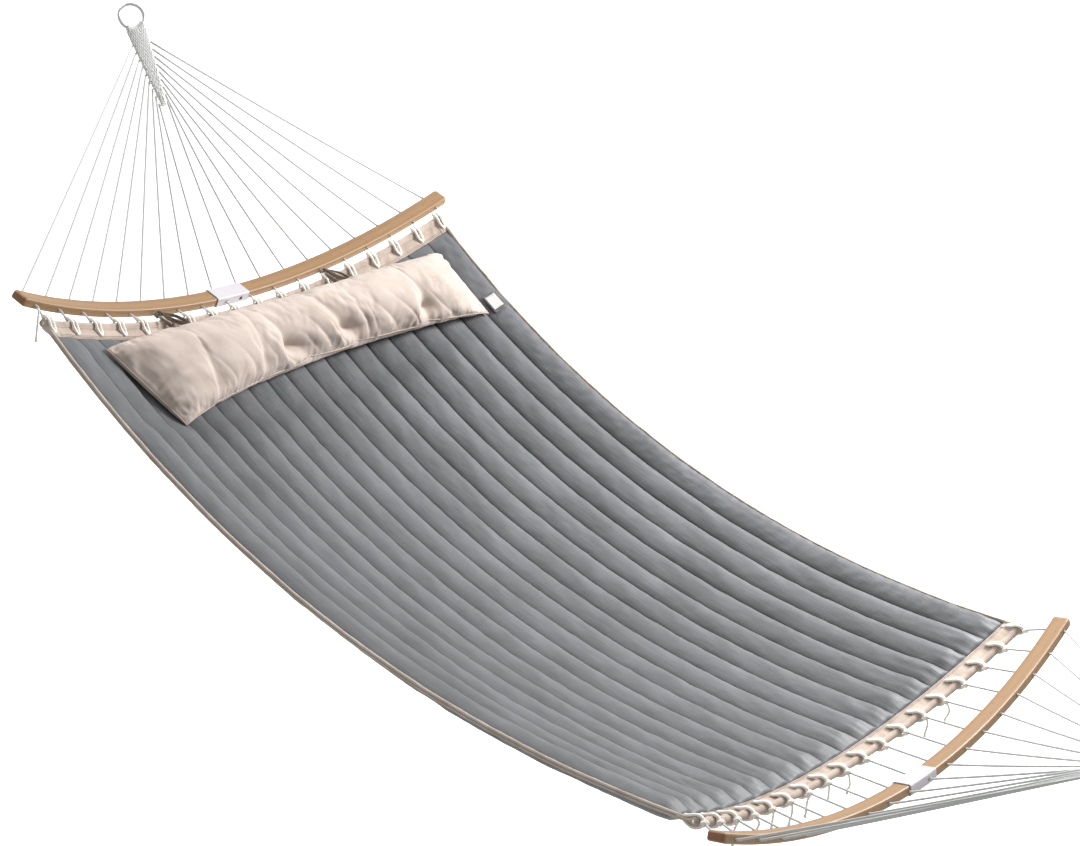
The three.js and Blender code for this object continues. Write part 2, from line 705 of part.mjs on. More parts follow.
// The label is sewn at the far edge, and lies over the outermost channel.
function label() {
  const slope = (QUILT_CROWN - QUILT_SEAM) / 2;
  const channel = (2 * QUILT_HALF) / CHANNEL_COUNT;
  const low = QUILT_SEAM / 2 + FACET_RISE + GAP;
  const outer = QUILT_HALF;
  const section = [
    [outer, low],
    [outer - channel / CHANNEL_STEPS, low + slope],
    [outer - LABEL_SIZE, low + slope],
    [outer - LABEL_SIZE, low + slope + LABEL_THICK],
    [outer - channel / CHANNEL_STEPS, low + slope + LABEL_THICK],
    [outer, low + LABEL_THICK],
  ];
  const flat = section.map(([s, height]) => new THREE.Vector2(-s, height));
  const ends = [LABEL_FROM_BAR + LABEL_SIZE / 2, LABEL_FROM_BAR - LABEL_SIZE / 2];
  return loft(ends.map((u) => section.map(([s, height]) => bedPoint(u, s, height))), flat);
}

// One end of the hammock, with its bar's middle at the group's origin and +X to the bed
function hammockEnd(end) {
  const group = new THREE.Group();
  const frame = barFrame(end.tilt, end.drop);
  const placement = clewPlacement();
  const pull = new THREE.Group();
  pull.applyMatrix4(placement);
  pull.add(named(`${end.name}_clew`, "cord", clew()));
  pull.add(named(`${end.name}_ring`, "steel", hangingRing()));
  group.add(pull);
  group.add(named(`${end.name}_bar_${end.sides[0]}`, "bamboo", barHalf(frame, -1)));
  group.add(named(`${end.name}_bar_${end.sides[1]}`, "bamboo", barHalf(frame, 1)));
  group.add(named(`${end.name}_bar_sleeve`, "sleeve", sleeve(frame)));
  group.add(named(`${end.name}_sleeve_screw`, "screw", screw(frame)));
  group.add(named(`${end.name}_hem_band`, "hem", hemBand(end)));
  group.add(named(`${end.name}_hem_rope`, "rope", hemRope(end)));
  for (let index = 0; index < CORD_COUNT; index += 1) {
    const fromNear = end.sides[0] === "near" ? index + 1 : CORD_COUNT - index;
    const tail = end.name === "head" && index === 0 ? TAIL_LENGTH : 0;
    const name = `${end.name}_cord_${String(fromNear).padStart(2, "0")}`;
    group.add(named(name, "cord", cord(frame, end, index, placement, tail)));
  }
  return group;
}

const hammock = new THREE.Group();
const headEnd = hammockEnd(HEAD_END);
const footEnd = hammockEnd(FOOT_END);
footEnd.position.x = BAR_SPAN;
footEnd.rotation.z = Math.PI;
hammock.add(headEnd, footEnd);
hammock.add(named("bed_quilt", "quilt", quilt()));
hammock.add(named("near_edge_piping", "piping", piping(-1)));
hammock.add(named("far_edge_piping", "piping", piping(1)));
hammock.add(named("pillow", "pillow", pillow()));
const headFrame = barFrame(HEAD_TILT, HEAD_DROP);
hammock.add(named("pillow_tie_near", "ribbon", pillowTie(headFrame, TIE_NEAR_CORD - 1)));
hammock.add(named("pillow_tie_far", "ribbon", pillowTie(headFrame, TIE_FAR_CORD - 1)));
hammock.add(named("label_patch", "label", label()));

// The hook bears on the inside of the ring, on the side away from the bed
const hook = vector(-RING_REACH, 0, RING_RISE).addScaledVector(CLEW_AXIS, RING_WIRE - RING_OUTER / 2);
hammock.position.copy(hook.negate());

const model = new THREE.Group();
model.add(hammock);

export default model;
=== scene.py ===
"""Dresses a quilted double hammock that hangs on two bowed bamboo spreader bars.

The CAD nodes give the frame. Each class below builds one sub-assembly in millimetres, in
the hammock's own coordinates, and hands it over in metres in the CAD frame.
"""

import logging
import math
from collections.abc import Sequence
from dataclasses import dataclass, field
from enum import Enum
from functools import cache

import bmesh
import bpy
from mathutils import Matrix, Vector, noise


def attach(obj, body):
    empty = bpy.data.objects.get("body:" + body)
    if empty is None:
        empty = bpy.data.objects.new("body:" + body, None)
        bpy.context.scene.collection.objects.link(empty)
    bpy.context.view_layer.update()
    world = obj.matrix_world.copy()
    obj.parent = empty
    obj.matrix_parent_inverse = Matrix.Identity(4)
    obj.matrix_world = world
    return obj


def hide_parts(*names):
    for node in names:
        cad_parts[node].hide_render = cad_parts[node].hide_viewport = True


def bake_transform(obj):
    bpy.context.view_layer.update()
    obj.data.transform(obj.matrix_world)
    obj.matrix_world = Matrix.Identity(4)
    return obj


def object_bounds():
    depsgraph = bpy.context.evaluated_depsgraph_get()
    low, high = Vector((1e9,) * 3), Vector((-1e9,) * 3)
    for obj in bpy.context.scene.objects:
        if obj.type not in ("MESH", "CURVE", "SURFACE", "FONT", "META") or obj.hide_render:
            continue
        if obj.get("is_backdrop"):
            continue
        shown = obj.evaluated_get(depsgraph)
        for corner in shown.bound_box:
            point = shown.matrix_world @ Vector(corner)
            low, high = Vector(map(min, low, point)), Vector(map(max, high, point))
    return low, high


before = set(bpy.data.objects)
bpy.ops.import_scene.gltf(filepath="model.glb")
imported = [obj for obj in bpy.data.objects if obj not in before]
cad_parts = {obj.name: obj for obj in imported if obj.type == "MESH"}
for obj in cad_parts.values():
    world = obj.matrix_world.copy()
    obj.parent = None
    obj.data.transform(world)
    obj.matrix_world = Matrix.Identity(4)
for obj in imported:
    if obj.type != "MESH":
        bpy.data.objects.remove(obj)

LOG = logging.getLogger("hammock")
MM = 0.001
CORD_COUNT = 18
GAP = 0.35  # millimetres between pieces that fit together
SHARP_TURN = 40.0  # degrees past which an edge of wood or steel stays sharp
UPWARD = Vector((0.0, 0.0, 1.0))
Socket = bpy.types.NodeSocket


def srgb(code: str) -> tuple[float, float, float, float]:
    """Turn an sRGB hex colour to the linear values that nodes take.

    Args:
        code: six hex digits, with or without a leading hash.

    Returns:
        Linear red, green and blue, and an alpha of 1.
    """
    digits = code.lstrip("#")
    shares = [int(digits[at : at + 2], 16) / 255 for at in (0, 2, 4)]
    linear = [c / 12.92 if c <= 0.04045 else ((c + 0.055) / 1.055) ** 2.4 for c in shares]
    return (linear[0], linear[1], linear[2], 1.0)


def add_node(
    tree: bpy.types.NodeTree, kind: str, inputs: dict | None = None, **settings: object
) -> bpy.types.Node:
    """Add a node with its settings, values and links.

    Args:
        tree: the node tree that takes it.
        kind: the node's type name.
        inputs: input name or number to a value, or to the socket that feeds it.
        **settings: attributes of the node, set before its inputs.

    Returns:
        The new node.
    """
    node = tree.nodes.new(kind)
    for name, value in settings.items():
        setattr(node, name, value)
    for key, value in (inputs or {}).items():
        if isinstance(value, Socket):
            tree.links.new(value, node.inputs[key])
        else:
            node.inputs[key].default_value = value
    return node


def add_object(name: str, data: bpy.types.ID) -> bpy.types.Object:
    """Add an object with its mesh, lamp or camera to the scene."""
    made = bpy.data.objects.new(name, data)
    bpy.context.scene.collection.objects.link(made)
    return made


def lerp(low: float, high: float, share: float) -> float:
    """Mix two numbers by a share from 0 to 1."""
    return low + (high - low) * share


def clamp(value: float) -> float:
    """Keep a number from 0 to 1."""
    return min(1.0, max(0.0, value))


def wander(x: float, y: float, z: float) -> float:
    """Give a smooth random height from -1 to 1 at a place, the same every time."""
    return noise.noise(Vector((x, y, z)))


def blunt(value: float, power: float) -> float:
    """Raise a number's size to a power and keep its sign."""
    return math.copysign(abs(value) ** power, value)


def radial(centre: Vector, across: Vector, up: Vector, radius: float, angle: float) -> Vector:
    """Give the point of a circle at an angle in radians."""
    return centre + across * (radius * math.cos(angle)) + up * (radius * math.sin(angle))


@dataclass(frozen=True)
class HammockShape:
    """The bed's curve and the frame that everything hangs in, in millimetres.

    u runs from the middle of the head bar towards the foot bar, s along the bow from the
    middle line to the far side, and h over the middle of the cloth.
    """

    bar_span: float = 1910.0
    bar_radius: float = 1720.0
    bed_sag: float = 189.0
    bed_width: float = 1299.0
    edge_twist: float = 17.0
    hook_offset: tuple[float, float, float] = (505.645, 0.0, -451.654)

    def slope(self, u: float) -> float:
        """Give the bed's slope along its length at u."""
        return 4 * self.bed_sag * (2 * u / self.bar_span - 1) / self.bar_span

    def along(self, u: float, distance: float) -> float:
        """Give the place that lies a distance along the cloth from u."""
        return u + distance / math.hypot(1, self.slope(u + distance / 2))

    def bed(self, u: float, s: float, h: float = 0.0, near: int = -1) -> Vector:
        """Give a point of the bed, in millimetres from the bar's middle.

        Args:
            u: the place along the bed from that bar.
            s: the place across it.
            h: the height over the middle of the cloth.
            near: the side of s that is the near side: -1 from the head and 1 from the foot.
        """
        share = 2 * u / self.bar_span - 1
        turn = s / self.bar_radius
        lengthwise = Vector((1, 0, self.slope(u)))
        crosswise = Vector((0, math.cos(turn), math.sin(turn)))
        normal = lengthwise.cross(crosswise).normalized()
        drop = -self.bed_sag * (1 - share * share)
        # The near edge lies lower than the bow at the head bar and higher at the foot bar.
        twist = -near * self.edge_twist * share * max(0.0, 2 * near * s / self.bed_width) ** 3
        rise = self.bar_radius * (1 - math.cos(turn)) + twist
        return Vector((u, self.bar_radius * math.sin(turn), drop + rise)) + normal * h

    def frame(self, point: Vector) -> Vector:
        """Take a point in millimetres from the head bar's middle to the CAD frame, in metres."""
        return (point + Vector(self.hook_offset)) * MM


SHAPE = HammockShape()


class End(Enum):
    """The two ends of the hammock."""

    HEAD = "head"
    FOOT = "foot"


@dataclass(frozen=True)
class BarFrame:
    """The place of one spreader bar, with its middle at the origin and +X to the bed."""

    end: End
    tilt: float
    drop: float
    standoff: float

    @property
    def hole(self) -> Vector:
        """Direction of the cord holes, towards the bed."""
        turn = math.radians(self.tilt)
        return Vector((math.cos(turn), 0, -math.sin(turn)))

    @property
    def up(self) -> Vector:
        """Direction in which the bar's ends rise."""
        turn = math.radians(self.tilt)
        return Vector((math.sin(turn), 0, math.cos(turn)))

    def middle(self, s: float) -> Vector:
        """Give the middle of the wood at a station along the bow."""
        turn = s / SHAPE.bar_radius
        rise = SHAPE.bar_radius * (1 - math.cos(turn))
        side = SHAPE.bar_radius * math.sin(turn)
        return Vector((0, side, -self.drop)) + self.up * rise

    def outward(self, s: float) -> Vector:
        """Give the direction through the bar's thickness at a station."""
        turn = s / SHAPE.bar_radius
        return self.up * math.cos(turn) + Vector((0, -math.sin(turn), 0))

    def bed(self, u: float, s: float, h: float = 0.0) -> Vector:
        """Give a point of the bed in this end's own coordinates."""
        return SHAPE.bed(u, s, h, -1 if self.end is End.HEAD else 1)

    def world(self, point: Vector) -> Vector:
        """Take a point of this end to the CAD frame, in metres."""
        if self.end is End.FOOT:
            point = Vector((SHAPE.bar_span - point.x, -point.y, point.z))
        return SHAPE.frame(point)


HEAD = BarFrame(End.HEAD, tilt=2.0, drop=8.0, standoff=42.0)
FOOT = BarFrame(End.FOOT, tilt=28.0, drop=0.0, standoff=120.0)


@dataclass(frozen=True)
class Pattern:
    """The node tree of a material while its pattern is drawn, one socket after another."""

    tree: bpy.types.NodeTree

    def place(self) -> Socket:
        """Give the hammock's own coordinates."""
        return add_node(self.tree, "ShaderNodeTexCoord").outputs["Object"]

    def wrapped(self) -> Socket:
        """Give a piece's own coordinates, round it and along it."""
        return add_node(self.tree, "ShaderNodeUVMap", uv_map="UVMap").outputs[0]

    def scaled(self, place: Socket, scale: tuple[float, float, float]) -> Socket:
        """Stretch coordinates."""
        return add_node(self.tree, "ShaderNodeMapping", {"Vector": place, "Scale": scale}).outputs[0]

    def parts(self, place: Socket) -> Sequence[Socket]:
        """Take coordinates apart."""
        return add_node(self.tree, "ShaderNodeSeparateXYZ", {0: place}).outputs

    def work(self, operation: str, *values: Socket | float, **settings: object) -> Socket:
        """Work out a number from others."""
        settings["operation"] = operation
        return add_node(
            self.tree, "ShaderNodeMath", dict(enumerate(values)), **settings
        ).outputs[0]

    def spots(self, place: Socket, scale: float, detail: float, **more: float) -> Socket:
        """Draw soft random spots, so many to the metre."""
        inputs = {0: place, "Scale": scale, "Detail": detail, **more}
        return add_node(self.tree, "ShaderNodeTexNoise", inputs).outputs[0]

    def spread(
        self, value: Socket, low: float, high: float, start: float = 0.0, end: float = 1.0
    ) -> Socket:
        """Stretch what lies between low and high to run from start to end."""
        inputs = dict(enumerate((value, low, high, start, end)))
        return add_node(self.tree, "ShaderNodeMapRange", inputs).outputs[0]

    def mix(self, share: Socket, first: Socket | str, second: Socket | str) -> Socket:
        """Mix two colours, each a socket or a hex code."""
        one, other = (srgb(tone) if isinstance(tone, str) else tone for tone in (first, second))
        inputs = {0: share, 6: one, 7: other}
        return add_node(self.tree, "ShaderNodeMix", inputs, data_type="RGBA").outputs[2]

    def marked(self) -> Socket:
        """Give the attribute mark of the mesh."""
        return add_node(self.tree, "ShaderNodeAttribute", attribute_name="mark").outputs["Fac"]

    def relief(self, height: Socket, strength: float, distance: float) -> Socket:
        """Raise the surface by so many metres."""
        inputs = {"Strength": strength, "Distance": distance, "Height": height}
        return add_node(self.tree, "ShaderNodeBump", inputs).outputs[0]


@dataclass(frozen=True)
class Finish:
    """What every finish has: its name, its two close colours and its gloss."""

    name: str
    colour: str
    shade: str
    roughness: float
    sheen: float = 0.0

    def draw(self, pattern: Pattern) -> dict[str, Socket | float]:
        """Draw the pattern and give what it feeds to the shader."""
        raise NotImplementedError

    def build(self) -> bpy.types.Material:
        """Make the material: its pattern, the shader and the output."""
        made = bpy.data.materials.new(self.name)
        made.use_nodes = True
        tree = made.node_tree
        tree.nodes.clear()
        inputs = {"Roughness": self.roughness, "Metallic": 0.0, "Sheen Weight": self.sheen}
        inputs |= {"Sheen Roughness": 0.45, **self.draw(Pattern(tree))}
        shader = add_node(tree, "ShaderNodeBsdfPrincipled", inputs)
        add_node(tree, "ShaderNodeOutputMaterial", {"Surface": shader.outputs[0]})
        return made


@cache
def paint(finish: Finish) -> bpy.types.Material:
    """Build a finish the first time, and give the same material after that."""
    return finish.build()


@dataclass(frozen=True)
class TwistedCord(Finish):
    """Spun cord of three strands laid together: rounded slanted ribs, soft and matt."""

    lay: float = 14.0  # millimetres along the cord for one turn of a strand
    depth: float = 0.5

    def draw(self, pattern: Pattern) -> dict[str, Socket | float]:
        """Draw the strands over the cord's own coordinates."""
        parts = pattern.parts(pattern.wrapped())
        along = pattern.work("MULTIPLY", parts[1], 1.0 / (self.lay * MM))
        turned = pattern.work("ADD", along, parts[0])
        phase = pattern.work("MULTIPLY", turned, 3.0 * math.pi)
        size = pattern.work("ABSOLUTE", pattern.work("SINE", phase))
        rib = pattern.work("POWER", size, 0.5)
        # Fibres of 0.02 mm can't show, so the fuzz is drawn at about a millimetre.
        fuzz = pattern.spots(pattern.place(), 1100.0, 3.0)
        height = pattern.work("MULTIPLY_ADD", fuzz, 0.25, rib)
        # The colour is painted shade in the grooves between the strands and full colour on their
        # crowns.
        return {
            "Base Color": pattern.mix(rib, self.shade, self.colour),
            "Normal": pattern.relief(height, self.depth, 0.0008),
        }


@dataclass(frozen=True)
class WovenCloth(Finish):
    """Plain-woven cloth: crossed threads with slubs, and a soft change of tone over it."""

    thread: float = 1.6  # millimetres between threads; the real 0.5 is too fine to show
    patch: float = 45.0  # millimetres over which the tone changes
    depth: float = 0.35

    def draw(self, pattern: Pattern) -> dict[str, Socket | float]:
        """Draw the threads over the hammock's own coordinates."""
        place = pattern.place()
        # A wave texture has one band in 0.314 / scale metres.
        bands = {"Vector": place, "Scale": 0.314 / (self.thread * MM), "Distortion": 1.2}
        threads = [
            add_node(pattern.tree, "ShaderNodeTexWave", bands, bands_direction=way).outputs[1]
            for way in ("X", "Y")
        ]
        weave = pattern.work("MAXIMUM", *threads)
        height = pattern.work("MULTIPLY_ADD", pattern.spots(place, 420.0, 3.0), 0.6, weave)
        # The two tones follow soft random patches, and painted shade darkens the gaps between the
        # threads.
        patch = pattern.spots(place, 1.0 / (self.patch * MM), 5.0, Roughness=0.6)
        tone = pattern.spread(patch, 0.32, 0.68)
        share = pattern.work("MULTIPLY_ADD", weave, 0.3, tone, use_clamp=True)
        return {
            "Base Color": pattern.mix(share, self.shade, self.colour),
            "Normal": pattern.relief(height, self.depth, 0.0006),
        }


@dataclass(frozen=True)
class QuiltSatin(Finish):
    """Polyester satin over wadding: a broad silky gloss, creased along and across the channels.

    The attribute mark is 1 on a sewn line, where the cloth is pulled in; the seam colour there is
    painted shade for that valley.
    """

    # Painted shade for the valley along each sewn line.
    seam: str = "#1f2022"

    def draw(self, pattern: Pattern) -> dict[str, Socket | float]:
        """Draw the creases over the hammock's own coordinates."""
        place = pattern.place()
        # Creases run 60 to 200 mm along a channel and are 4 to 8 mm apart across it.
        along = pattern.scaled(place, (0.06, 1.0, 1.0))
        streak = pattern.spots(along, 130.0, 4.0, Roughness=0.55)
        # Short puckers cross the channel every 12 mm or so.
        across = pattern.scaled(place, (1.0, 0.3, 0.3))
        pucker = pattern.spots(across, 85.0, 3.0, Distortion=0.6)
        folds = pattern.work("MULTIPLY_ADD", pucker, 0.8, streak)
        # The real weave is 0.2 mm; it is drawn at 1 mm so that the gloss breaks up.
        height = pattern.work("MULTIPLY_ADD", pattern.spots(place, 1000.0, 2.0), 0.12, folds)
        # The tone follows the creases, darker in their hollows as painted shade, over soft random
        # patches.
        patch = pattern.spots(place, 5.0, 4.0, Roughness=0.6)
        tone = pattern.work("MULTIPLY_ADD", streak, 0.35, patch)
        cloth = pattern.mix(pattern.spread(tone, 0.42, 0.95), self.shade, self.colour)
        low, high = self.roughness - 0.06, self.roughness + 0.06
        return {
            # The mark mixes the painted seam shade into the cloth's colour.
            "Base Color": pattern.mix(pattern.marked(), cloth, self.seam),
            "Normal": pattern.relief(height, 0.5, 0.0016),
            "Roughness": pattern.spread(streak, 0.3, 0.7, low, high),
            "Specular IOR Level": 0.4,
        }


@dataclass(frozen=True)
class LaminatedBamboo(Finish):
    """Bamboo strips glued side by side and varnished: fine fibre, a joint in each strip.

    The attribute mark is 1 on the sawn end, where the open pores drink the varnish.
    """

    strip: float = 6.4  # millimetres, the width of a glued strip
    girth: float = 109.0  # millimetres round the bar
    joint: float = 310.0  # millimetres between the stem's joints along a strip
    dark: str = "#6b3e19"
    end: str = "#6f4520"

    def draw(self, pattern: Pattern) -> dict[str, Socket | float]:
        """Draw the strips over the bar's own coordinates."""
        place = pattern.scaled(pattern.wrapped(), (self.girth * MM, 1.0, 1.0))
        parts = pattern.parts(place)
        # Fibre bundles are 0.5 to 1 mm wide and run for centimetres.
        long = pattern.scaled(place, (1.0, 0.025, 1.0))
        fibre = pattern.spots(long, 900.0, 5.0, Roughness=0.65)
        number = pattern.work("FLOOR", pattern.work("DIVIDE", parts[0], self.strip * MM))
        chance = add_node(
            pattern.tree, "ShaderNodeTexWhiteNoise", {"W": number}, noise_dimensions="1D"
        ).outputs[0]
        station = pattern.work("MULTIPLY_ADD", parts[1], 1.0 / (self.joint * MM), chance)
        # A joint is a dark line that fades out over 4 mm.
        ring = pattern.spread(pattern.work("FRACT", station), 0.0, 0.012, 1.0, 0.0)
        tone = pattern.work("MULTIPLY_ADD", chance, 0.2, fibre)
        wood = pattern.mix(pattern.spread(tone, 0.3, 0.95), self.shade, self.colour)
        jointed = pattern.mix(pattern.work("MULTIPLY", ring, 0.7), wood, self.dark)
        return {
            "Base Color": pattern.mix(pattern.marked(), jointed, self.end),
            "Normal": pattern.relief(fibre, 0.25, 0.0005),
            "Coat Weight": 0.12,
            "Coat Roughness": 0.4,
        }


@dataclass(frozen=True)
class Grained(Finish):
    """Bare or coated solid: the grain that drawing, spraying or drilling leaves, and wear."""

    metallic: float = 1.0
    grain: float = 1.5  # millimetres, of the drawing marks or of the sprayed coat
    depth: float = 0.15

    def draw(self, pattern: Pattern) -> dict[str, Socket | float]:
        """Draw the grain over the hammock's own coordinates."""
        place = pattern.place()
        wear = pattern.spots(place, 60.0, 4.0)
        skin = pattern.spots(place, 1.0 / (self.grain * MM), 3.0)
        low, high = self.roughness - 0.07, self.roughness + 0.07
        return {
            "Base Color": pattern.mix(wear, self.shade, self.colour),
            "Normal": pattern.relief(skin, self.depth, 0.0004),
            "Metallic": self.metallic,
            "Roughness": pattern.spread(wear, 0.3, 0.7, low, high),
        }


# Cord and loops are spun polyester and cotton: near white, with painted shade only in the grooves of
# the lay.
CORD_WHITE = TwistedCord("polyester_cord_spun", "#cdcfcd", "#bec0be", 0.9, 0.1)
LOOP_CREAM = TwistedCord("cotton_loop_laid", "#f7f3ec", "#ddd5c9", 0.85, 0.4, lay=20.0, depth=0.35)
# Bent round rod with a zinc skin: bright, slightly clouded grey.
STEEL = Grained("steel_rod_zinc_plated", "#aeb0b2", "#8f9193", 0.3)
# Glued bamboo strips under a satin varnish: honey colour with fine darker fibre.
BAMBOO = LaminatedBamboo("bamboo_laminated_varnished", "#9a7954", "#81613f", 0.5)
# The holes' walls are bare wood, painted dark for the shade inside the holes.
SHADED_BORE = Grained("bamboo_drilled_painted_shade", "#6d4420", "#4a2c13", 0.9, metallic=0.0, depth=0.5)
# Sprayed and baked powder: a faint orange peel on cool white.
SLEEVE = Grained("steel_sleeve_powder_coated", "#c2bec2", "#b9b5b9", 0.42, metallic=0.0)
# Black oxide on a pressed screw: dark, with worn grey on its rim.
SCREW = Grained("steel_screw_blackened", "#3e3c3b", "#2a2928", 0.4, grain=0.8)
# Heavy plain-woven canvas: matt taupe with a visible thread.
HEM = WovenCloth("polyester_canvas_taupe", "#b9a99d", "#9b8b7f", 0.9, 0.12)
# Lighter canvas for the pillow: matt beige, soft change of tone.
PILLOW = WovenCloth("polyester_canvas_beige", "#beb0a7", "#ad9d93", 0.88, 0.12, patch=70.0)
# Folded tape sewn along the sides.
PIPING = WovenCloth("polyester_tape_beige", "#bab0a6", "#9d9288", 0.9, 0.12)
# Narrow woven ribbon: brown-grey, a little silky.
RIBBON = WovenCloth("polyester_ribbon_brown", "#8a7c6f", "#675a4e", 0.7, 0.3, thread=1.1)
# Label tab and the bare patch sewn on it.
TAB = WovenCloth("polyester_tab_dark", "#4d4c4d", "#3a3a3b", 0.8, 0.2, thread=1.1)
PATCH = WovenCloth("satin_label_bare", "#b9b4b3", "#adaaa8", 0.6, 0.2, thread=1.0, depth=0.15)
# Satin over wadding: a neutral grey that turns pale only in its gloss.
QUILT = QuiltSatin("polyester_satin_grey", "#67686b", "#4f5052", 0.58, 0.06)
# Sewing thread, a shade off the cloth it holds.
THREAD = TwistedCord("polyester_thread_brown", "#8d7765", "#6b5848", 0.7, 0.2, lay=3.0)
GREY_THREAD = TwistedCord("polyester_thread_grey", "#454648", "#2f3032", 0.7, 0.2, lay=3.0)
CREAM_THREAD = TwistedCord("polyester_thread_cream", "#ded3c6", "#b8aa9a", 0.7, 0.2, lay=3.0)
# The clew is woven of the same cord, and its tight weave keeps more shade.
CLEW_WHITE = TwistedCord("polyester_cord_woven", "#e9e9e7", "#cfcfcd", 0.85, 0.3, lay=12.0)


@dataclass
class Shell:
    """Points, faces, pattern coordinates and marks of a mesh being built, in metres."""

    points: list[Vector] = field(default_factory=list)
    faces: list[tuple[int, ...]] = field(default_factory=list)
    uvs: list[tuple[tuple[float, float], ...]] = field(default_factory=list)
    marks: list[float] = field(default_factory=list)

    def strip(
        self,
        rows: Sequence[Sequence[Vector]],
        lengths: Sequence[float],
        closed: bool = True,
        ring: bool = False,
    ) -> int:
        """Skin rows of points, with u round each row and v along the rows.

        Args:
            rows: rows of equally many points.
            lengths: the v of each row, in metres, and one more for a ring's last step.
            closed: whether each row closes on itself.
            ring: whether the last row joins the first.

        Returns:
            The index of the first point added.
        """
        first = len(self.points)
        size = len(rows[0])
        for row in rows:
            self.points.extend(row)
        wide = size if closed else size - 1
        for line in range(len(rows) if ring else len(rows) - 1):
            row = rows[line]
            spans = [(row[(step + 1) % size] - row[step]).length for step in range(wide)]
            whole, done = max(sum(spans), 1e-9), 0.0
            for step in range(wide):
                after = (step + 1) % size
                low = first + line * size
                high = first + (line + 1) % len(rows) * size
                self.faces.append((low + step, low + after, high + after, high + step))
                near = done / whole
                done += spans[step]
                far = done / whole
                below, above = lengths[line], lengths[line + 1]
                self.uvs.append(((near, below), (far, below), (far, above), (near, above)))
        return first

    def cap(self, ring: Sequence[int]) -> None:
        """Close a ring of points with one face, in the order given."""
        self.faces.append(tuple(ring))
        self.uvs.append(tuple((0.5, 0.0) for _ in ring))

    def tube(
        self, path: Sequence[Vector], radii: Sequence[float] | float, sides: int = 8
    ) -> None:
        """Add a closed tube along a path, carried without twisting.

        Args:
            path: the points of its middle line, in metres.
            radii: its radius, or one for each point, in metres.
            sides: facets round it.
        """
        count = len(path)
        sizes = [radii] * count if isinstance(radii, float) else list(radii)
        ways = [(path[at + 1] - path[at]).normalized() for at in range(count - 1)]
        hint = UPWARD if abs(ways[0].z) < 0.9 else Vector((0, 1, 0))
        rows, lengths, travelled = [], [], 0.0
        for at, point in enumerate(path):
            before, after = ways[max(at - 1, 0)], ways[min(at, count - 2)]
            along = (before + after).normalized()
            hint = (hint - along * hint.dot(along)).normalized()
            over = along.cross(hint)
            turns = [math.tau * (step + 0.5) / sides for step in range(sides)]
            rows.append([radial(point, hint, over, sizes[at], turn) for turn in turns])
            travelled += (point - path[at - 1]).length if at else 0.0
            lengths.append(travelled)
        first = self.strip(rows, lengths)
        last = first + (count - 1) * sides
        self.cap(range(first + sides - 1, first - 1, -1))
        self.cap(range(last, last + sides))

    def loft(self, rows: Sequence[Sequence[Vector]]) -> None:
        """Add a closed solid through rows of points, with v in metres along the rows."""
        size = len(rows[0])
        lengths = [0.0]
        for before, after in zip(rows, rows[1:]):
            lengths.append(lengths[-1] + (after[0] - before[0]).length)
        first = self.strip(rows, lengths)
        last = first + (len(rows) - 1) * size
        self.cap(range(first + size - 1, first - 1, -1))
        self.cap(range(last, last + size))

    def finish(self, name: str, finish: Finish, crease: float = 180.0) -> bpy.types.Object:
        """Turn what was built into an object at the origin.

        Args:
            name: the piece's name.
            finish: what it is made of.
            crease: edges that turn more than so many degrees stay sharp.

        Returns:
            The new object.
        """
        mesh = bpy.data.meshes.new(name)
        mesh.from_pydata([tuple(point) for point in self.points], [], self.faces)
        layer = mesh.uv_layers.new(name="UVMap")
        layer.data.foreach_set("uv", [c for face in self.uvs for pair in face for c in pair])
        if self.marks:
            attribute = mesh.attributes.new("mark", "FLOAT", "POINT")
            attribute.data.foreach_set("value", self.marks)
        mesh.materials.append(paint(finish))
        mesh.shade_smooth()
        if crease < 180.0:
            mesh.set_sharp_from_angle(angle=math.radians(crease))
        mesh.update()
        LOG.info("%s: %d faces", name, len(mesh.polygons))
        return add_object(name, mesh)


def spline(points: Sequence[Vector], steps: int) -> list[Vector]:
    """Round a path off with a Catmull-Rom curve through its points.

    Args:
        points: the points it goes through.
        steps: pieces for each stretch between two points.

    Returns:
        The points of the curve.
    """
    ends = [2 * points[0] - points[1], *points, 2 * points[-1] - points[-2]]
    made = []
    for at in range(1, len(ends) - 2):
        a, b, c, d = ends[at - 1 : at + 3]
        for step in range(steps):
            t = step / steps
            curve = 2 * b + (c - a) * t + (2 * a - 5 * b + 4 * c - d) * t * t
            made.append(0.5 * (curve + (3 * b - a - 3 * c + d) * t**3))
    return [*made, points[-1].copy()]


def lofted(rows: Sequence[Sequence[Vector]]) -> Shell:
    """Make a closed shell through rows of points."""
    shell = Shell()
    shell.loft(rows)
    return shell


def recalculate(target: bpy.types.Object) -> None:
    """Turn the faces of an object's closed shells outward."""
    mesh = bmesh.new()
    mesh.from_mesh(target.data)
    bmesh.ops.recalc_face_normals(mesh, faces=mesh.faces)
    mesh.to_mesh(target.data)
    mesh.free()


def settle(target: bpy.types.Object) -> None:
    """Turn what an object's modifiers make of it into its own plain mesh."""
    bpy.context.view_layer.update()
    graph = bpy.context.evaluated_depsgraph_get()
    mesh = bpy.data.meshes.new_from_object(target.evaluated_get(graph))
    target.modifiers.clear()
    target.shape_key_clear()
    old = target.data
    target.data = mesh
    bpy.data.meshes.remove(old)
    mesh.name = target.name


def cut_away(target: bpy.types.Object, tool: bpy.types.Object) -> None:
    """Take one solid away from another, which keeps the tool's finish where it was cut.

    Args:
        target: the solid that is cut.
        tool: the solid that is taken away, removed afterwards.
    """
    cutter = target.modifiers.new("cut", "BOOLEAN")
    cutter.object = tool
    cutter.solver = "EXACT"
    cutter.material_mode = "TRANSFER"
    settle(target)
    bpy.data.objects.remove(tool)


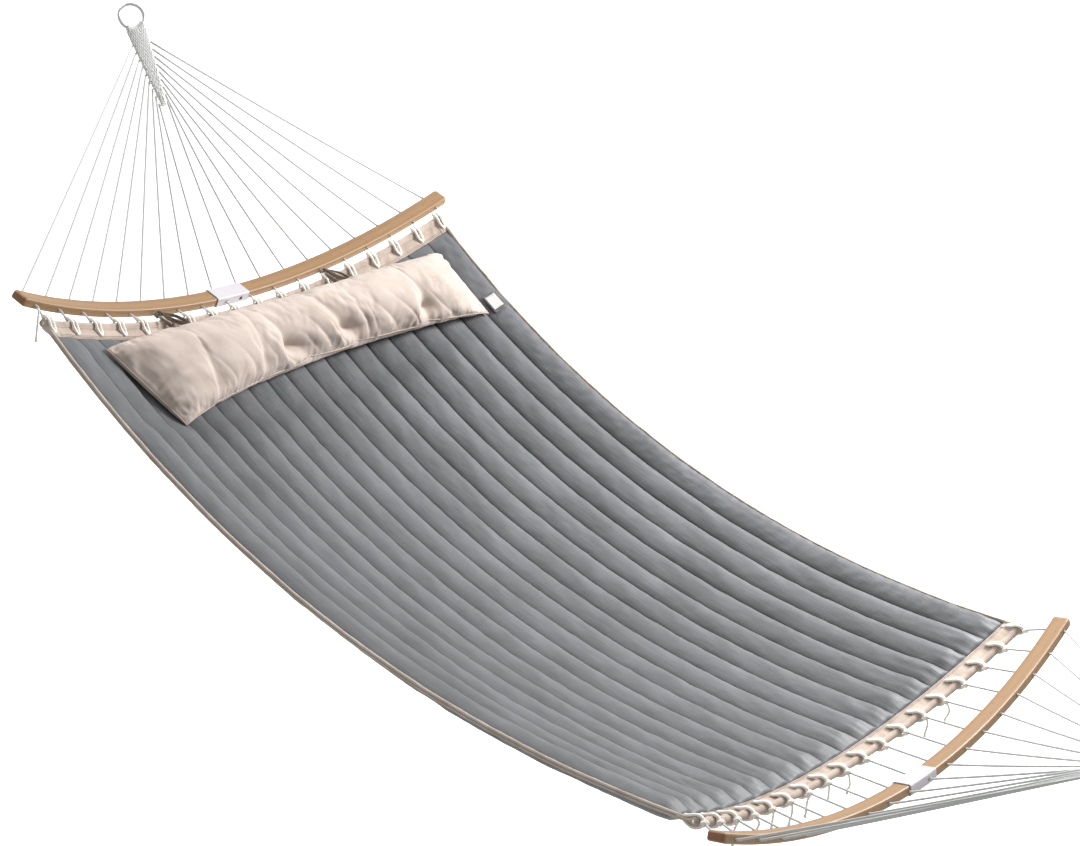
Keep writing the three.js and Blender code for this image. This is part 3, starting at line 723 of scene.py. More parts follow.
@dataclass(frozen=True)
class StitchRow:
    """A row of lockstitch along a path, grown by one node tree for every seam."""

    thread: Finish = THREAD
    spacing: float = 4.0
    length: float = 2.8
    radius: float = 0.42
    seed: int = 7

    def tree(self) -> bpy.types.NodeTree:
        """Build the node tree, or give the one that was built before."""
        found = bpy.data.node_groups.get("stitch_row")
        if found:
            return found
        tree = bpy.data.node_groups.new("stitch_row", "GeometryNodeTree")
        kinds = {"Geometry": "Geometry", "Spacing": "Float", "Length": "Float"}
        kinds |= {"Radius": "Float", "Seed": "Int", "Thread": "Material"}
        for name, kind in kinds.items():
            tree.interface.new_socket(name, in_out="INPUT", socket_type=f"NodeSocket{kind}")
        tree.interface.new_socket("Geometry", in_out="OUTPUT", socket_type="NodeSocketGeometry")
        given = add_node(tree, "NodeGroupInput").outputs
        seam = add_node(tree, "GeometryNodeMeshToCurve", {"Mesh": given["Geometry"]})
        steps = {"Curve": seam.outputs[0], "Length": given["Spacing"]}
        points = add_node(tree, "GeometryNodeResampleCurve", steps, mode="LENGTH")
        tangent = {"Vector": add_node(tree, "GeometryNodeInputTangent").outputs[0]}
        turn = add_node(tree, "FunctionNodeAlignRotationToVector", tangent, axis="Z")
        size = {"Vertices": 6, "Radius": given["Radius"], "Depth": given["Length"]}
        bead = add_node(tree, "GeometryNodeMeshCylinder", size)
        sizes = {0: (0.9, 0.9, 0.85), 1: (1.1, 1.1, 1.1), "Seed": given["Seed"]}
        chance = add_node(tree, "FunctionNodeRandomValue", sizes, data_type="FLOAT_VECTOR")
        placed = {"Points": points.outputs[0], "Instance": bead.outputs[0]}
        placed |= {"Rotation": turn.outputs[0], "Scale": chance.outputs[0]}
        stitches = add_node(tree, "GeometryNodeInstanceOnPoints", placed)
        real = add_node(tree, "GeometryNodeRealizeInstances", {0: stitches.outputs[0]})
        dressed = {"Geometry": real.outputs[0], "Material": given["Thread"]}
        done = add_node(tree, "GeometryNodeSetMaterial", dressed)
        add_node(tree, "NodeGroupOutput", {"Geometry": done.outputs[0]})
        return tree

    def build(self, name: str, seams: Sequence[Sequence[Vector]]) -> bpy.types.Object:
        """Sew seams and make them one plain mesh.

        Args:
            name: the piece's name.
            seams: the path of each seam, in metres.

        Returns:
            The stitches, without a modifier.
        """
        points, edges = [], []
        for seam in seams:
            first = len(points)
            points += [tuple(point) for point in seam]
            edges += [(first + at, first + at + 1) for at in range(len(seam) - 1)]
        lines = bpy.data.meshes.new(f"{name}_lines")
        lines.from_pydata(points, edges, [])
        made = add_object(name, lines)
        grown = made.modifiers.new("stitches", "NODES")
        grown.node_group = self.tree()
        values = {"Spacing": self.spacing * MM, "Length": self.length * MM}
        values |= {"Radius": self.radius * MM, "Seed": self.seed, "Thread": paint(self.thread)}
        for socket in grown.node_group.interface.items_tree:
            if socket.in_out == "INPUT" and socket.name in values:
                grown[socket.identifier] = values[socket.name]
        settle(made)
        made.data.name = name
        made.data.shade_smooth()
        LOG.info("%s: %d faces", name, len(made.data.polygons))
        return made


@dataclass
class CordFan:
    """The 18 cords of one end, from the clew through the bar to their loops on the hem."""

    bar: BarFrame
    pitch: float = 77.0
    loop_pitch: float = 75.0
    diameter: float = 5.0
    straight: float = 25.0
    knot: float = 13.0
    first_place: float = 65.0
    clew_length: float = 213.0
    ring_mean: float = 28.5
    ring_reach: float = 487.0
    ring_rise: float = 435.0
    clew_turn: float = 25.0  # degrees about the line of pull
    clew_top: float = 43.0
    clew_tip: float = 13.0
    sag: float = 3.0

    def clew_matrix(self) -> Matrix:
        """Give the frame of ring and clew: +X down the line of pull from the ring's centre."""
        axis = Vector((self.ring_reach, 0, -self.ring_rise)).normalized()
        fan = axis.cross(Vector((0, 1, 0))).normalized()
        turn = math.radians(self.clew_turn)
        across = Vector((0, math.cos(turn), 0)) + fan * math.sin(turn)
        normal = axis.cross(across).normalized()
        made = Matrix((axis, across, normal)).transposed().to_4x4()
        made.translation = Vector((-self.ring_reach, 0, self.ring_rise))
        return made

    def half_width(self, place: float) -> float:
        """Give the clew's half width at a place down its length."""
        share = (place - self.ring_mean) / (self.clew_length - self.ring_mean)
        return lerp(self.clew_top, self.clew_tip, share) / 2

    def start(self, index: int) -> Vector:
        """Give the point at which a cord leaves the side of the clew."""
        last = CORD_COUNT - 1
        inward = min(index, last - index) / (CORD_COUNT / 2 - 0.5)
        place = lerp(self.first_place, self.clew_length, inward)
        side = -1 if index < CORD_COUNT / 2 else 1
        out = self.half_width(place) + self.diameter / 2 + GAP
        return self.clew_matrix() @ Vector((place, side * out, 0))

    def station(self, index: int, pitch: float) -> float:
        """Give the place of a cord along the bow."""
        return (index - (CORD_COUNT - 1) / 2) * pitch

    def number(self, index: int) -> int:
        """Give a cord's number, counted from the near side."""
        return index + 1 if self.bar.end is End.HEAD else CORD_COUNT - index

    def landing(self, index: int) -> tuple[Vector, Vector]:
        """Give where a cord leaves its hole and where its knot lies."""
        hole = self.bar.middle(self.station(index, self.pitch))
        leave = hole + self.bar.hole * self.straight
        place = self.bar.standoff - self.knot / 2 - 2 * GAP
        return leave, self.bar.bed(place, self.station(index, self.loop_pitch), self.knot / 6)

    def path(self, index: int) -> list[Vector]:
        """Give the cord's middle line from the clew to its knot, in metres."""
        start = self.start(index)
        hole = self.bar.middle(self.station(index, self.pitch))
        enter = hole - self.bar.hole * self.straight
        leave, knot = self.landing(index)
        points = []
        for step in range(16):
            share = step / 15
            sag = 4 * self.sag * share * (1 - share)
            points.append(start.lerp(enter, share) - Vector((0, 0, sag)))
        points.append(hole)
        for step in range(4):
            points.append(leave.lerp(knot, step / 3))
        return [self.bar.world(point) for point in points]

    def build(self) -> None:
        for index in range(CORD_COUNT):
            path = self.path(index)
            shell = Shell()
            shell.tube(path, self.diameter / 2 * MM, 8)
            name = f"{self.bar.end.value}_cord_{self.number(index):02d}"
            piece = shell.finish(f"{name}_strand", CORD_WHITE)
            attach(piece, "bed")
            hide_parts(name)
            length = sum((b - a).length for a, b in zip(path, path[1:]))
            tuple(path[0])
            [tuple(point) for point in path]


@dataclass
class Hanger:
    """The steel ring and the woven clew of one end, in the clew's own frame."""

    fan: CordFan
    wire: float = 3.5
    first_weft: float = 44.0
    weft_pitch: float = 6.6
    warps: int = 9  # on each side of the middle, front and back
    warp_radius: float = 1.75
    weft_radius: float = 1.7
    eye_angle: float = 39.0
    half_top: float = 7.0
    half_tip: float = 4.0
    weld: float = 0.35
    play: float = 0.6  # between the wire and the warps that go round it
    swing: float = 0.9  # of the weave, to either side

    def world(self, point: Vector) -> Vector:
        """Take a point of the clew's frame to the CAD frame, in metres."""
        return self.fan.bar.world(self.fan.clew_matrix() @ point)

    def ring(self) -> None:
        """Build the ring of bent steel rod, with the low swelling of its butt weld."""
        rows, lengths, steps, sides = [], [], 96, 20
        mean = self.fan.ring_mean
        turns = [-math.tau * (step + 0.5) / sides for step in range(sides)]
        for at in range(steps):
            turn = math.tau * at / steps
            out = Vector((math.cos(turn), math.sin(turn), 0))
            wire = self.wire + self.weld * math.exp(-(((turn - 2.4) / 0.05) ** 2))
            circle = [radial(out * mean, out, UPWARD, wire, angle) for angle in turns]
            rows.append([self.world(point) for point in circle])
            lengths.append(turn * mean * MM)
        shell = Shell()
        shell.strip(rows, [*lengths, math.tau * mean * MM], ring=True)
        end = self.fan.bar.end.value
        piece = shell.finish(f"{end}_ring_steel", STEEL)
        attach(piece, f"{end}_hanger")
        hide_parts(f"{end}_ring")

    def half_thick(self, place: float) -> float:
        """Give the clew's half thickness at a place down its length."""
        share = (place - self.fan.ring_mean) / (self.fan.clew_length - self.fan.ring_mean)
        return lerp(self.half_top, self.half_tip, share)

    def left(self, place: float) -> float:
        """Give how many warps are left on each side at a place."""
        fan = self.fan
        share = max(0.0, (place - fan.first_place) / (fan.clew_length - fan.first_place))
        return self.warps - (self.warps - 0.5) * share

    def warp(self, index: int, side: int) -> list[Vector]:
        """Give the path of one warp: up the front, over the ring's wire and down the back."""
        fan = self.fan
        rank = self.warps - 0.5 - index
        last = fan.first_place + (fan.clew_length - fan.first_place) * index / (self.warps - 0.5)
        turn = math.radians(self.eye_angle) * rank / (self.warps - 0.5) * side
        out = Vector((math.cos(turn), math.sin(turn), 0))
        centre = out * fan.ring_mean
        lean = fan.ring_mean * (1 - math.cos(turn))
        clear = self.wire + self.warp_radius + self.play
        top = centre.x + 5.0
        steps = max(5, int((last - top) / 3.3))
        face = []
        for step in range(steps + 1):
            place = lerp(top + 3, last, step / steps)
            across = fan.half_width(place) * rank / self.left(place) * side
            weave = math.pi * (place - self.first_weft) / self.weft_pitch
            parity = 1 if index % 2 else -1
            over = self.half_thick(place) * math.sqrt(max(0.1, 1 - (across / 24) ** 2))
            face.append((place, across, over + self.swing * math.cos(weave) * parity))
        path = [Vector((place, across, over)) for place, across, over in reversed(face)]
        for step in range(9):
            angle = math.pi * step / 8
            wrap = out * (-(clear + lean * 0.25) * math.sin(angle))
            path.append(centre + wrap + Vector((0, 0, (clear + lean * 0.55) * math.cos(angle))))
        path += [Vector((place, across, -over)) for place, across, over in face]
        return [self.world(point) for point in path]

    def weft(self, number: int, place: float) -> list[Vector]:
        """Give one turn of weft round the warps, over one and under the next."""
        half, thick = self.fan.half_width(place) + 0.5, self.half_thick(place)
        waves = max(2, round(2 * self.left(place)))
        steps = max(28, waves * 6)
        path = []
        for step in range(steps):
            turn = math.tau * step / steps
            across = half * math.cos(turn)
            over = thick * blunt(math.sin(turn), 0.6)
            phase = math.pi * waves * across / (2 * half) + math.pi * number
            swing = self.swing * math.cos(phase) * math.copysign(1, over) * abs(math.sin(turn))
            path.append(self.world(Vector((place + 0.4 * math.sin(3 * turn), across, over + swing))))
        return [*path, path[0], path[1]]

    def core(self, place: float) -> list[Vector]:
        """Give the outline of the clew's inside at a place down its length."""
        wide, thick = self.fan.half_width(place) - 0.5, self.half_thick(place) - 0.5
        turns = [math.tau * at / 16 for at in range(16)]
        points = [Vector((place, wide * math.cos(at), thick * math.sin(at))) for at in turns]
        return [self.world(point) for point in points]

    def clew(self) -> None:
        """Build the clew: warps looped over the ring, woven across by the cords that leave."""
        shell = Shell()
        for index in range(self.warps):
            for side in (-1, 1):
                shell.tube(self.warp(index, side), self.warp_radius * MM, 6)
        count = int((self.fan.clew_length - self.first_weft) / self.weft_pitch)
        for number in range(count + 1):
            place = self.first_weft + number * self.weft_pitch
            slim = self.weft_radius * (1 - 0.25 * number / count)
            shell.tube(self.weft(number, place), slim * MM, 6)
        low, high = self.fan.ring_mean + 11, self.fan.clew_length - 1
        shell.loft([self.core(lerp(low, high, step / 11)) for step in range(12)])
        end = self.fan.bar.end.value
        piece = shell.finish(f"{end}_clew_weave", CLEW_WHITE)
        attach(piece, "bed")
        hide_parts(f"{end}_clew")

    def build(self) -> None:
        """Build the ring and the clew."""
        self.ring()
        self.clew()


@dataclass
class SpreaderBar:
    """One bowed bar: two half bars of laminated bamboo, their sleeve and its screw."""

    fan: CordFan
    depth: float = 38.0
    thick: float = 20.0
    corner: float = 4.0
    margin: float = 38.0
    end_round: float = 9.0
    sleeve_low: float = -67.0
    sleeve_high: float = 33.0
    sleeve_wall: float = 2.0
    screw_at: float = 8.0
    screw_head: float = 9.0
    hole: float = 3.6  # radius of a cord hole in the wood
    sleeve_hole: float = 4.2

    def section(self, s: float, depth: float, thick: float, corner: float) -> list[Vector]:
        """Give the rounded outline of the wood at a station."""
        bar = self.fan.bar
        centre, over = bar.middle(s), bar.outward(s)
        points = []
        for quarter, (along_sign, over_sign) in enumerate(((1, 1), (-1, 1), (-1, -1), (1, -1))):
            for step in range(6):
                turn = math.pi / 2 * (quarter + step / 5)
                x = along_sign * (depth / 2 - corner) + corner * math.cos(turn)
                y = over_sign * (thick / 2 - corner) + corner * math.sin(turn)
                points.append(bar.world(centre + bar.hole * x + over * y))
        return points

    def solid(self, shell: Shell, stations: Sequence[float], grow: float = 0.0) -> None:
        """Add the bar's solid through stations, its end rounded where it is the bar's end."""
        tip = (CORD_COUNT - 1) * self.fan.pitch / 2 + self.margin
        rows, marks = [], []
        for s in sorted(stations, reverse=True):
            left = clamp((tip - abs(s)) / self.end_round)
            marks += [max(0.0, 1 - 2.2 * left)] * 24
            inset = self.end_round * 0.5 * (1 - math.sqrt(1 - (1 - left) ** 2))
            size = 2 * (grow - inset)
            rows.append(self.section(s, self.depth + size, self.thick + size, self.corner + grow / 2))
        shell.marks += marks
        shell.loft(rows)

    def drill(self, low: float, high: float, radius: float, walls: Finish) -> bpy.types.Object:
        """Make the solid of the cord holes between two stations.

        Args:
            low: the lower station.
            high: the higher station.
            radius: the holes' radius in millimetres.
            walls: the finish of the holes' walls.

        Returns:
            The solid that cuts the holes.
        """
        bar = self.fan.bar
        shell = Shell()
        for index in range(CORD_COUNT):
            s = self.fan.station(index, self.fan.pitch)
            if low < s < high:
                ends = [bar.middle(s) + bar.hole * reach for reach in (-26, 0, 26)]
                shell.tube([bar.world(point) for point in ends], radius * MM, 20)
        return shell.finish("cord_drill", walls)

    def half(self, side: int) -> None:
        """Build the half bar of a side, -1 or 1, from inside the sleeve to its rounded end."""
        middle = (self.sleeve_low + self.sleeve_high) / 2
        start = middle + side * GAP
        tip = side * ((CORD_COUNT - 1) * self.fan.pitch / 2 + self.margin)
        shoulder = tip - side * self.end_round
        stations = [lerp(start, shoulder, step / 70) for step in range(71)]
        stations += [lerp(shoulder, tip, math.sin(math.pi / 2 * step / 7)) for step in range(1, 8)]
        shell = Shell()
        self.solid(shell, stations)
        near = (side < 0) == (self.fan.bar.end is End.HEAD)
        name = f"{self.fan.bar.end.value}_bar_{'near' if near else 'far'}"
        piece = shell.finish(f"{name}_bamboo", BAMBOO)
        # The cord holes' walls take the painted shade finish.
        cut_away(piece, self.drill(min(start, tip), max(start, tip), self.hole, SHADED_BORE))
        piece.data.set_sharp_from_angle(angle=math.radians(SHARP_TURN))
        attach(piece, "bed")
        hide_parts(name)

    def sleeve(self) -> None:
        """Build the sleeve that holds the halves, with the cord holes and the screw's seat."""
        grow = GAP + self.sleeve_wall
        shell = Shell()
        steps = [lerp(self.sleeve_low, self.sleeve_high, step / 12) for step in range(13)]
        self.solid(shell, steps, grow)
        end = self.fan.bar.end.value
        piece = shell.finish(f"{end}_bar_sleeve_shell", SLEEVE)
        bore = Shell()
        self.solid(bore, [steps[0] - 2, *steps, steps[-1] + 2], GAP)
        cut_away(piece, bore.finish("sleeve_bore", SLEEVE))
        holes = self.drill(self.sleeve_low, self.sleeve_high, self.sleeve_hole, SLEEVE)
        cut_away(piece, holes)
        bar = self.fan.bar
        face = self.depth / 2 + grow
        seat = Shell()
        ends = [bar.middle(self.screw_at) + bar.hole * (face + reach) for reach in (-2.6, 2)]
        seat.tube([bar.world(point) for point in ends], (self.screw_head / 2 + 0.3) * MM, 28)
        cut_away(piece, seat.finish("screw_seat", SLEEVE))
        piece.data.set_sharp_from_angle(angle=math.radians(SHARP_TURN))
        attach(piece, "bed")
        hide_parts(f"{end}_bar_sleeve")

    def screw(self) -> None:
        """Build the screw: a pan head with a cross recess, and its shank."""
        bar = self.fan.bar
        out, side = bar.hole, Vector((0, 1, 0))
        up = out.cross(side)
        seat = bar.middle(self.screw_at) + out * (self.depth / 2 + GAP + 0.9)
        half = self.screw_head / 2
        profile = [(0.3, 1.1), (half * 0.6, 1.05), (half * 0.9, 0.8), (half, 0.3), (half, 0.0)]
        profile += [(2.0, 0.0), (2.0, -13.0), (0.4, -15.0)]
        turns = [-math.tau * step / 28 for step in range(28)]
        rows = []
        for size, height in profile:
            middle = seat + out * height
            rows.append([bar.world(radial(middle, side, up, size, turn)) for turn in turns])
        end = bar.end.value
        piece = lofted(rows).finish(f"{end}_sleeve_screw_steel", SCREW, crease=SHARP_TURN)
        corners = ((-1, -1), (1, -1), (1, 1), (-1, 1))
        for way, thin in ((side * 2.3, up * 0.55), (up * 2.3, side * 0.55)):
            rows = []
            for height in (0.45, 3.0):
                middle = seat + out * height
                rows.append([bar.world(middle + way * a + thin * b) for a, b in corners])
            cut_away(piece, lofted(rows).finish("cross_cutter", SCREW))
        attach(piece, "bed")
        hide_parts(f"{end}_sleeve_screw")

    def build(self) -> None:
        """Build both half bars, the sleeve and the screw."""
        for side in (-1, 1):
            self.half(side)
        self.sleeve()
        self.screw()


@dataclass
class Hem:
    """The hem band of one end, its rope, and the loops that go round both."""

    fan: CordFan
    width: float = 45.0
    thick: float = 4.0
    roll: float = 7.7
    rope: float = 4.0
    hole_inset: float = 30.0
    bed_width: float = SHAPE.bed_width
    loop_radius: float = 3.1
    stations: int = 300  # along the band
    seams: tuple[float, ...] = (17.0, 37.0, 41.0)  # sewn rows, from the outer edge
    tails: tuple[int, ...] = (3, 4, 5, 6, 7, 8, 9, 13, 14)  # foot cords with a loose end

    def bend(self, s: float) -> float:
        """Give how full the roll is at a station: pinched at the loops, full between them."""
        phase = (s / self.fan.loop_pitch + 0.5) % 1.0 - 0.5
        return math.cos(math.tau * (phase - 0.5)) * 0.5 + 0.5

    def fold(self, along: float, s: float) -> float:
        """Give the height of the slanted folds that the loops pull into the band."""
        ridge = 1 - abs(wander(s * 0.035 + along * 0.02, along * 0.012 - s * 0.006, 3.0)) * 2
        fine = wander(s * 0.11, along * 0.07, 7.0)
        return 1.9 * ridge * ridge + 0.9 * fine

    def point(self, along: float, s: float, over: float) -> Vector:
        """Give a point of the band, in metres: along the cloth from its outer edge."""
        bar = self.fan.bar
        return bar.world(bar.bed(SHAPE.along(bar.standoff, along), s, over))

    def surface(self, along: float, s: float, over: float) -> Vector:
        """Give a point of the band's skin, with its folds."""
        on_roll = along < 2 * self.roll + 0.5
        grow = lerp(0.88, 1.08, self.bend(s)) if on_roll else 1.0
        fade = 0.8 if on_roll else min(1.0, max(0.0, self.width - along) / 12)
        lift = math.copysign(self.fold(along, s) * 0.7 * fade, over)
        return self.point(along, s, over * grow + lift)

    def band(self) -> None:
        """Build the band of doubled cloth, rolled round its rope at the outer edge."""
        half = self.thick / 2
        outline = []
        for step in range(15):
            turn = math.radians(62 + step * (236 / 14))
            outline.append((self.roll + math.cos(turn) * self.roll, math.sin(turn) * self.roll))
        flat = [18 + step * 4.5 for step in range(7)]
        outline += [(along, -half) for along in flat]
        outline += [(along, half) for along in reversed(flat)]
        rows = []
        for at in range(self.stations + 1):
            s = lerp(self.bed_width / 2, -self.bed_width / 2, at / self.stations)
            rows.append([self.surface(along, s, over) for along, over in outline])
        end = self.fan.bar.end.value
        piece = lofted(rows).finish(f"{end}_hem_band_cloth", HEM)
        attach(piece, "bed")
        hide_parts(f"{end}_hem_band")

    def corners(self) -> None:
        """Build the folded ends of the band, where its corners are turned in and sewn."""
        shell = Shell()
        for side in (-1, 1):
            rows = []
            for step in range(9):
                s = side * (self.bed_width / 2 - 27 + step * 3.2)
                row = []
                for turn in range(20):
                    angle = math.tau * turn / 20
                    along = 24 + 21.5 * blunt(math.cos(angle), 0.7)
                    thick = lerp(8.6, 3.4, clamp((along - 10) / 12))
                    dip = 0.7 if step in (0, 8) else 1.0
                    over = thick * dip * blunt(math.sin(angle), 0.5)
                    row.append(self.point(along, s, over * (1 + 0.1 * self.fold(along, s))))
                rows.append(row)
            shell.loft(rows if side < 0 else rows[::-1])
        end = self.fan.bar.end.value
        piece = shell.finish(f"{end}_hem_corners", HEM)
        recalculate(piece)
        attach(piece, "bed")

    def stitches(self) -> None:
        """Sew the band to the quilt in two rows, and close its roll with a third."""
        seams = []
        for along in self.seams:
            places = [lerp(-1, 1, step / 200) * (self.bed_width / 2 - 4) for step in range(201)]
            seams.append([self.surface(along, s, self.thick / 2 + 0.35) for s in places])
        end = self.fan.bar.end.value
        piece = StitchRow().build(f"{end}_hem_stitches", seams)
        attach(piece, "bed")

    def rope_piece(self) -> None:
        """Build the rope inside the roll, just proud of the cloth at both ends."""
        reach = self.bed_width / 2
        path = [self.point(self.roll, lerp(-reach, reach, step / 60), 0) for step in range(61)]
        shell = Shell()
        shell.tube(path, self.rope * MM, 12)
        end = self.fan.bar.end.value
        piece = shell.finish(f"{end}_hem_rope_core", LOOP_CREAM)
        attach(piece, "bed")
        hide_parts(f"{end}_hem_rope")

    def knot(self, shell: Shell, centre: Vector, along: Vector, size: float) -> None:
        """Add an overhand knot, as a trefoil of cord, round a point of this end."""
        up = UPWARD
        side = along.cross(up).normalized()
        over = side.cross(along)
        path = []
        for step in range(50):
            t = math.tau * step / 48
            x = math.sin(t) + 2 * math.sin(2 * t)
            y = math.cos(t) - 2 * math.cos(2 * t)
            z = -math.sin(3 * t) * 1.2
            point = centre + side * (x * size * 0.8) + over * (y * size * 0.62) + along * (z * size)
            path.append(self.fan.bar.world(point))
        shell.tube(path, size * 1.15 * MM, 8)

    def eye(self, shell: Shell, s: float) -> None:
        """Add the head's loop: one flat eye of cord over the roll, down into its hole."""
        bar = self.fan.bar
        roll = SHAPE.along(bar.standoff, self.roll)
        hole = SHAPE.along(bar.standoff, self.hole_inset)
        top = self.roll + self.loop_radius + 0.8
        low = self.thick / 2 + self.loop_radius
        # u, h and half the eye's width, from the fork by the bar to the hole
        line = [(roll - 17, 3.0, 0.9), (roll - 11, top * 0.75, 3.4), (roll, top + 0.6, 5.2)]
        line += [(roll + 10, top * 0.78, 5.6), (hole - 4, low + 1.8, 5.2), (hole + 3, low, 2.6)]
        tilt = 2.5 * wander(s * 0.13, 2.0, 0.0)
        forth = [(u, s + wide + tilt * (u - roll) * 0.05, h) for u, h, wide in line]
        back = [(u, s - wide + tilt * (u - roll) * 0.05, h - 0.3) for u, h, wide in reversed(line)]
        end = [(hole + 4.4, s, low - 1.2)]
        points = [bar.bed(*spot) for spot in [*forth, *end, *back]]
        shell.tube([bar.world(point) for point in spline(points, 5)], self.loop_radius * MM, 8)
        under = [(hole + 1, s, low - 0.5), (hole + 1, s, -low), (roll + 6, s, -top)]
        under += [(roll - 4, s, -top * 0.8), (roll - 12, s, -2.0)]
        path = [bar.world(point) for point in spline([bar.bed(*spot) for spot in under], 4)]
        shell.tube(path, self.loop_radius * MM, 8)

    def wrap(self, shell: Shell, s: float) -> None:
        """Add the foot's loop: two strands slanting over the roll to a knot and its tail."""
        bar = self.fan.bar
        roll = SHAPE.along(bar.standoff, self.roll)
        hole = SHAPE.along(bar.standoff, self.hole_inset)
        top = self.roll + self.loop_radius + 1.0
        low = self.thick / 2 + self.loop_radius
        lean = 7.0 + 5.0 * wander(s * 0.21, 4.0, 1.0)
        for side in (-1, 1):
            line = [(roll - 15, 1.5, 0.6), (roll - 8, top * 0.85, 2.8), (roll, top + 0.5, 3.6)]
            line += [(roll + 9, top * 0.8, 3.6), (hole - 4, low + 1.2, 3.0), (hole + 1, low, 1.2)]
            line += [(hole + 1.5, -low, 0.8), (roll + 5, -top, 2.2), (roll - 8, -top * 0.7, 2.0)]
            line += [(roll - 14, -0.5, 0.8)]
            spots = []
            for at, (u, h, wide) in enumerate(line):
                spots.append(bar.bed(u, s + side * wide + lean * (at - 1) / 4 * (at < 6), h))
            path = [bar.world(point) for point in spline(spots, 4)]
            shell.tube(path, self.loop_radius * MM, 8)

    def tail(self, shell: Shell, start: Vector, length: float, seed: float) -> None:
        """Add a loose end that hangs from a knot, in this end's frame."""
        sway = Vector((wander(seed, 0, 0), wander(0, seed, 0), 0))
        out = Vector((6.0 if self.fan.bar.end is End.HEAD else -5.0, 0, 0)) + sway * 10
        points = [start, start + out + Vector((0, 0, -4))]
        for step in range(1, 5):
            drop = length * step / 4
            curl = sway * (16 * math.sin(step * 1.3)) + out * (1 + 0.5 * step)
            points.append(start + curl + Vector((0, 0, -4 - drop)))
        path = [self.fan.bar.world(point) for point in spline(points, 5)]
        shell.tube(path, [2.4 * MM] * (len(path) - 3) + [2.6 * MM, 3.1 * MM, 3.4 * MM], 8)

    def loop(self, index: int) -> None:
        """Build one loop, from the cord's fork or knot round the hem."""
        bar = self.fan.bar
        s = self.fan.station(index, self.fan.loop_pitch)
        leave, knot = self.fan.landing(index)
        back = (leave - knot).normalized()
        number = self.fan.number(index)
        shell = Shell()
        if bar.end is End.HEAD:
            self.eye(shell, s)
            fork = [knot + back * 7, knot + back * 3, knot, knot - back * 4]
            shell.tube([bar.world(p) for p in fork], [2.6 * MM, 3.4 * MM, 4.2 * MM, 4.0 * MM], 12)
            if number == 1:
                self.tail(shell, leave - Vector((0, 0, 3)), 66.0, 3.0)
        else:
            self.wrap(shell, s)
            self.knot(shell, knot + back * 1.5, back, 2.5)
            if number in self.tails:
                self.tail(shell, knot, 30.0 + 6 * (number % 4), number * 1.7)
        piece = shell.finish(f"{bar.end.value}_loop_{number:02d}", LOOP_CREAM)
        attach(piece, "bed")

    def build(self) -> None:
        """Build the band with its corners, stitches and rope, and the loops round it."""
        self.band()
        self.corners()
        self.stitches()
        self.rope_piece()
        for index in range(CORD_COUNT):
            self.loop(index)


